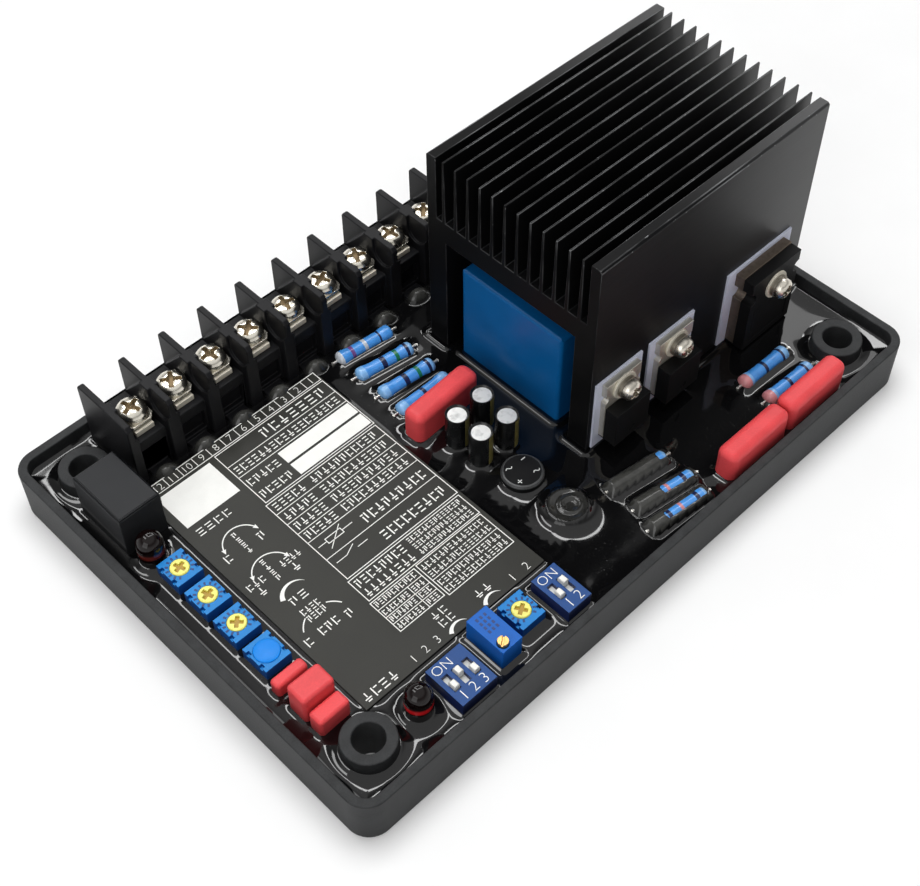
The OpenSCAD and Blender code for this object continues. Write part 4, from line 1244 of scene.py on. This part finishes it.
def swoosh(u, v, radius, start, end, width):
    """An arc that swells from a fine tip to a broad end."""
    arc(u, v, radius, start, end, HAIR, width)


print("arc helpers ready")

# %% Upper label tables
STRIP = (2.2, 65.1, 46.0, 67.7)
cell = (STRIP[2] - STRIP[0]) / len(poles)
frame_of(*STRIP)
for pole in range(len(poles)):
    left = STRIP[0] + pole * cell
    if pole:
        line_on_label([(left, STRIP[1]), (left, STRIP[3])], FINE)
    number(len(poles) - pole, left + cell / 2, (STRIP[1] + STRIP[3]) / 2, 1.7)

field(1.9, 54.4, 15.2, 64.2)
frame_of(16.9, 48.4, 46.0, 64.6)
words(27.5, 61.2, 45.0, 63.7, 7)
rule(60.5, 16.9, 46.0)
words(17.6, 57.6, 45.4, 59.6)
rule(56.9, 16.9, 46.0)
for base in (52.9, 48.9):
    words(17.5, base + 0.6, 25.9, base + 2.6)
    field(26.6, base, 45.7, base + 3.4)
print("upper label tables laid")

# %% Lower label tables
frame_of(16.4, 23.5, 45.8, 47.8)
for row in (44.6, 41.3, 38.1, 35.1, 29.6):
    rule(row, 16.4, 45.8)
for base in (45.2, 41.9, 38.7, 35.6):
    words(17.3, base, 25.5, base + 2.0)
    words(27.0, base, 44.6, base + 2.0)
for base in (30.6, 24.9):
    words(28.0, base, 44.9, base + 2.4)
frame_of(19.4, 32.2, 23.3, 33.5)
rule(32.85, 17.2, 19.4)
rule(32.85, 23.3, 26.0)
line_on_label([(19.0, 30.9), (23.8, 34.4)], FINE)
rule(27.7, 17.4, 20.0)
line_on_label([(20.0, 27.7), (22.6, 28.9)], FINE)
rule(27.7, 22.9, 25.4)
frame_of(16.0, 16.9, 45.5, 22.9)
for base in (20.2, 17.4):
    words(16.7, base, 29.6, base + 2.1)
for base in (21.1, 19.3, 17.5):
    words(30.6, base, 44.9, base + 1.3)
frame_of(15.7, 7.8, 27.1, 16.3)
for row in (14.1, 11.9, 9.9):
    rule(row, 15.7, 27.1)
line_on_label([(23.3, 7.8), (23.3, 14.1)], FINE)
words(16.2, 14.6, 26.7, 16.0)
for base in (12.3, 10.3, 8.2):
    words(16.1, base, 22.8, base + 1.3)
    words(23.7, base, 26.7, base + 1.3)
frame_of(27.8, 7.2, 45.3, 16.5)
rule(11.8, 27.8, 45.3)
for base in (14.4, 12.3, 9.7, 7.7):
    words(28.3, base, 44.8, base + 1.5)
print("lower label tables laid")

# %% Label scales
words(2.6, 51.0, 11.2, 52.9, 4)
arrow(7.7, 43.9, 4.3, 160, 25)
arrow(7.6, 34.7, 4.4, 152, 22)
for k in range(4):
    words(6.9, 46.1 - 1.6 * k, 8.2, 47.3 - 1.6 * k, 1)
    words(6.8, 37.3 - 1.6 * k, 8.1, 38.5 - 1.6 * k, 1)
for u, v in ((2.3, 42.1), (10.5, 42.0), (2.3, 31.8), (10.6, 31.7), (1.2, 17.0), (10.9, 16.6)):
    words(u, v, u + 2.0, v + 2.0, 1)
words(1.2, 34.1, 5.7, 35.8)
words(9.4, 34.1, 14.4, 35.8)
swoosh(7.6, 27.2, 3.4, 35, 160, 1.0)
words(5.1, 26.0, 9.6, 27.9, 2)
arc(7.4, 17.6, 5.5, 118, 150, SCALE_LINE)
arc(7.4, 17.6, 5.5, 62, 30, SCALE_LINE)
for base in (22.9, 21.0):
    words(5.0, base, 9.6, base + 1.6)
words(4.8, 17.2, 9.8, 19.2, 3)
words(1.2, 0.8, 9.6, 2.9, 4)
for k, u in enumerate((13.4, 16.4, 19.4)):
    number(k + 1, u, 1.8, 1.7)
for u in (24.4, 33.4):
    swoosh(u, -0.6, 2.6, 40, 150, 0.9)
for base in (4.9, 2.7):
    words(21.9, base, 25.9, base + 1.7, 2)
words(31.2, 2.6, 35.5, 4.4, 2)
for k, u in enumerate((39.2, 43.0)):
    number(k + 1, u, 1.6, 1.8)
ink_piece("label_print", label_print, white_ink)
print("label scales laid")

# %% [markdown]
# ## Print on the small parts
# The slide switches carry a plain ON and numbers. The square trimmers have a ring of short dark ticks round
# the rotor. The bridge rectifier shows its polarity signs, and the many-turn trimmer three rows of dark bars.

# %% Marks on switches and trimmers
def slider_places(group):
    """The middle of each slider of a switch, along X."""
    return [sum(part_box(node), Vector()).x / 2 for node in sorted(frame["nodes"]) if group + "_slider" in node]


for group in ("dip_three", "dip_two"):
    marks = bmesh.new()
    low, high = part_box(group + "_body")
    places = slider_places(group)
    digits(marks, "ON", places[0] + 0.95 * MM, high.y - 1.45 * MM, high.z, 1.95 * MM)
    for k, x in enumerate(places):
        digits(marks, str(k + 1), x, low.y + 1.6 * MM, high.z, 2.1 * MM)
    ink_piece(group + "_print", marks, white_ink)

TICKS = 13
TICK_START, TICK_SWEEP = -55, 290
TICK_FROM, TICK_TO, TICK_WIDE = 2.2 * MM, 2.85 * MM, 0.42 * MM
ticks = bmesh.new()
for letter in "abce":
    middle = sum(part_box(f"trimmer_{letter}_rotor"), Vector()) / 2
    for k in range(TICKS):
        turn = math.radians(TICK_START + TICK_SWEEP * k / (TICKS - 1))
        way = Vector((math.cos(turn), math.sin(turn)))
        ends = [middle.xy + way * TICK_FROM, middle.xy + way * TICK_TO]
        ribbon(ticks, ends, [TICK_WIDE] * 2, TRIM_TOP)
ink_piece("trimmer_ticks", ticks, blue_ink)
print("switches and trimmers marked")

# %% Marks on the rectifier and the many-turn trimmer
SIGN_HALF, SIGN_WIDE = 0.55 * MM, 0.2 * MM
WAVE_STEPS = 12
WAVE_STEP, WAVE_TALL, WAVE_WIDE = 0.13, 0.28, 0.18
low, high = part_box("bridge_rectifier")
middle = (low + high) / 2
signs = bmesh.new()
for du, dv, tilt in ((-2.4, -1.6, 0), (-2.4, -1.6, 90), (2.2, 2.0, 0)):
    way = Vector((math.cos(math.radians(tilt)), math.sin(math.radians(tilt)))) * SIGN_HALF
    spot = middle.xy + Vector((du, dv)) * MM
    ribbon(signs, [spot - way, spot + way], [SIGN_WIDE] * 2, high.z)
for du, dv in ((-1.7, 2.2), (2.0, -2.0)):
    wave = []
    for k in range(WAVE_STEPS + 1):
        across = du + (k - WAVE_STEPS / 2) * WAVE_STEP
        up = dv + WAVE_TALL * math.sin(math.tau * k / WAVE_STEPS)
        wave.append(middle.xy + Vector((across, up)) * MM)
    ribbon(signs, wave, [WAVE_WIDE * MM] * len(wave), high.z)
ink_piece("rectifier_signs", signs, slot_grey)

BARS = 4
BAR_FIRST, BAR_PITCH, BAR_LONG, BAR_WIDE = 1.0, 1.1, 0.7, 0.5
low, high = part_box("multiturn_body")
rows_ink = bmesh.new()
for share in (0.3, 0.5, 0.7):
    x = low.x + (high.x - low.x) * share
    for k in range(BARS):
        y = high.y - (BAR_FIRST + BAR_PITCH * k) * MM
        ribbon(rows_ink, [(x, y), (x, y - BAR_LONG * MM)], [BAR_WIDE * MM] * 2, high.z)
ink_piece("multiturn_rows", rows_ink, blue_ink)
print("rectifier and many-turn trimmer marked")

# %% [markdown]
# ## Floor and light
# The picture is a studio shot on white: a pale floor with a soft shadow under soft light. The floor is a
# plain diffuse sheet that glows a little for the camera and in reflections, so it reads white where no
# shadow falls. Far from the object it turns to plain white.

# %% Floor
FLOOR_HALF = 3.0
FLOOR_DROP = 0.2 * MM
FLOOR_GLOW = 0.14
FLOOR_FADE = (0.15, 0.34)


def rays(tree, *kinds):
    """1 for rays of any of these kinds, 0 for all others."""
    path = tree.nodes.new("ShaderNodeLightPath").outputs
    found, *others = [Wire(tree, path[f"Is {kind} Ray"]) for kind in kinds]
    for other in others:
        found = found.math("MAXIMUM", found, other)
    return found


def white_floor():
    """Pale floor material: a soft shadow near the object and plain white far from it."""
    finish = bpy.data.materials.new("pale_floor")
    finish.use_nodes = True
    tree = finish.node_tree
    tree.nodes.clear()
    spot = coordinates(tree)
    seen = rays(tree, "Camera", "Glossy", "Transmission")
    far = spot.node("VectorMath", {"operation": "LENGTH"}, {0: spot}, 1).smooth(*FLOOR_FADE)
    cloth = spot.noise(0.02).mix((0.76, 0.76, 0.76, 1), (0.8, 0.8, 0.8, 1))
    sheet = spot.node("BsdfDiffuse", {}, {"Color": cloth})
    glow = spot.node("Emission", {}, {"Color": (1, 1, 1, 1), "Strength": seen * FLOOR_GLOW})
    near = spot.node("AddShader", {}, {0: sheet, 1: glow})
    plain = spot.node("Emission", {}, {"Color": (1, 1, 1, 1), "Strength": 1.0})
    whole = spot.node("MixShader", {}, {0: far * seen, 1: near, 2: plain})
    output = tree.nodes.new("ShaderNodeOutputMaterial")
    tree.links.new(whole.socket, output.inputs["Surface"])
    return finish


sheet = bmesh.new()
bmesh.ops.create_grid(sheet, x_segments=12, y_segments=12, size=FLOOR_HALF)
floor_mesh = bpy.data.meshes.new("studio_floor")
sheet.to_mesh(floor_mesh)
sheet.free()
floor_mesh.materials.append(white_floor())
floor = bpy.data.objects.new("studio_floor", floor_mesh)
floor.location.z = -FLOOR_DROP
bpy.context.scene.collection.objects.link(floor)
print("floor laid")

# %% [markdown]
# A box overhead and one at the front give the soft light. Glossy resin shows only what it mirrors, so a side
# panel greys it at the right end of the tray, and five edge lamps, which light no matt surface, draw its
# bright lines. They hang round the patch of ceiling that flat resin mirrors, so only its slopes see them. A
# brighter room would give such lines too, but it would also grey all of the resin.

# %% World and lamps
world = bpy.data.worlds.new("studio")
bpy.context.scene.world = world
world.use_nodes = True
tree = world.node_tree
tree.nodes.clear()
ray = coordinates(tree, "Generated")
seen = rays(tree, "Camera", "Transmission")
glossy = rays(tree, "Glossy")
across, rise = ray.axis(1), ray.axis(2)
ceiling = rise.smooth(0.55, 0.8) * (1 - across.smooth(0.4, 0.6))
room = 1.0 - rise.smooth(0.1, 0.6) * 0.72 + ceiling * 0.55
level = seen + (1 - seen) * (glossy * room + (1 - glossy) * 0.42)
light = ray.node("Background", {}, {"Color": (1, 1, 1, 1), "Strength": level})
tree.links.new(light.socket, tree.nodes.new("ShaderNodeOutputWorld").inputs["Surface"])


def soft_box(name, place_at, aim, size, power, glare=True, fill=True):
    """A rectangular lamp that looks at a point; glare lets it show in gloss, fill lights matt surfaces."""
    data = bpy.data.lights.new(name, "AREA")
    data.shape = "RECTANGLE"
    data.size, data.size_y = size
    data.energy = power
    lamp = bpy.data.objects.new(name, data)
    lamp.location = place_at
    lamp.rotation_euler = (Vector(aim) - Vector(place_at)).to_track_quat("-Z", "Y").to_euler()
    lamp.visible_camera = False
    lamp.visible_glossy = glare
    lamp.visible_diffuse = fill
    bpy.context.scene.collection.objects.link(lamp)
    return lamp


CEILING = 0.75
soft_box("top_box", (0.05, 0.1, CEILING), (0, 0, 0), (0.5, 0.4), 4.2, glare=False)
soft_box("front_box", (-0.76, -0.22, 0.44), (0, 0, 0.01), (0.6, 0.6), 2.0)
soft_box("side_panel", (0.78, 0.4, CEILING), (0.78, 0.4, 0), (0.3, 0.5), 1.0, fill=False)
# Place in X and Y, length along X and Y, and power for each square metre
EDGE_LAMPS = {
    "near": (0.42, 0.165, 0.7, 0.05, 38.0),
    "left": (0.06, 0.43, 0.055, 0.5, 38.0),
    "low_left": (-0.25, 0.42, 0.14, 0.5, 23.0),
    "far": (0.42, 0.70, 0.7, 0.09, 38.0),
    "right": (0.98, 0.43, 0.09, 0.5, 38.0),
}
for side, (x, y, long, deep, glow) in EDGE_LAMPS.items():
    soft_box(f"edge_{side}", (x, y, CEILING), (x, y, 0), (long, deep), glow * long * deep, fill=False)
print("world and lamps set")
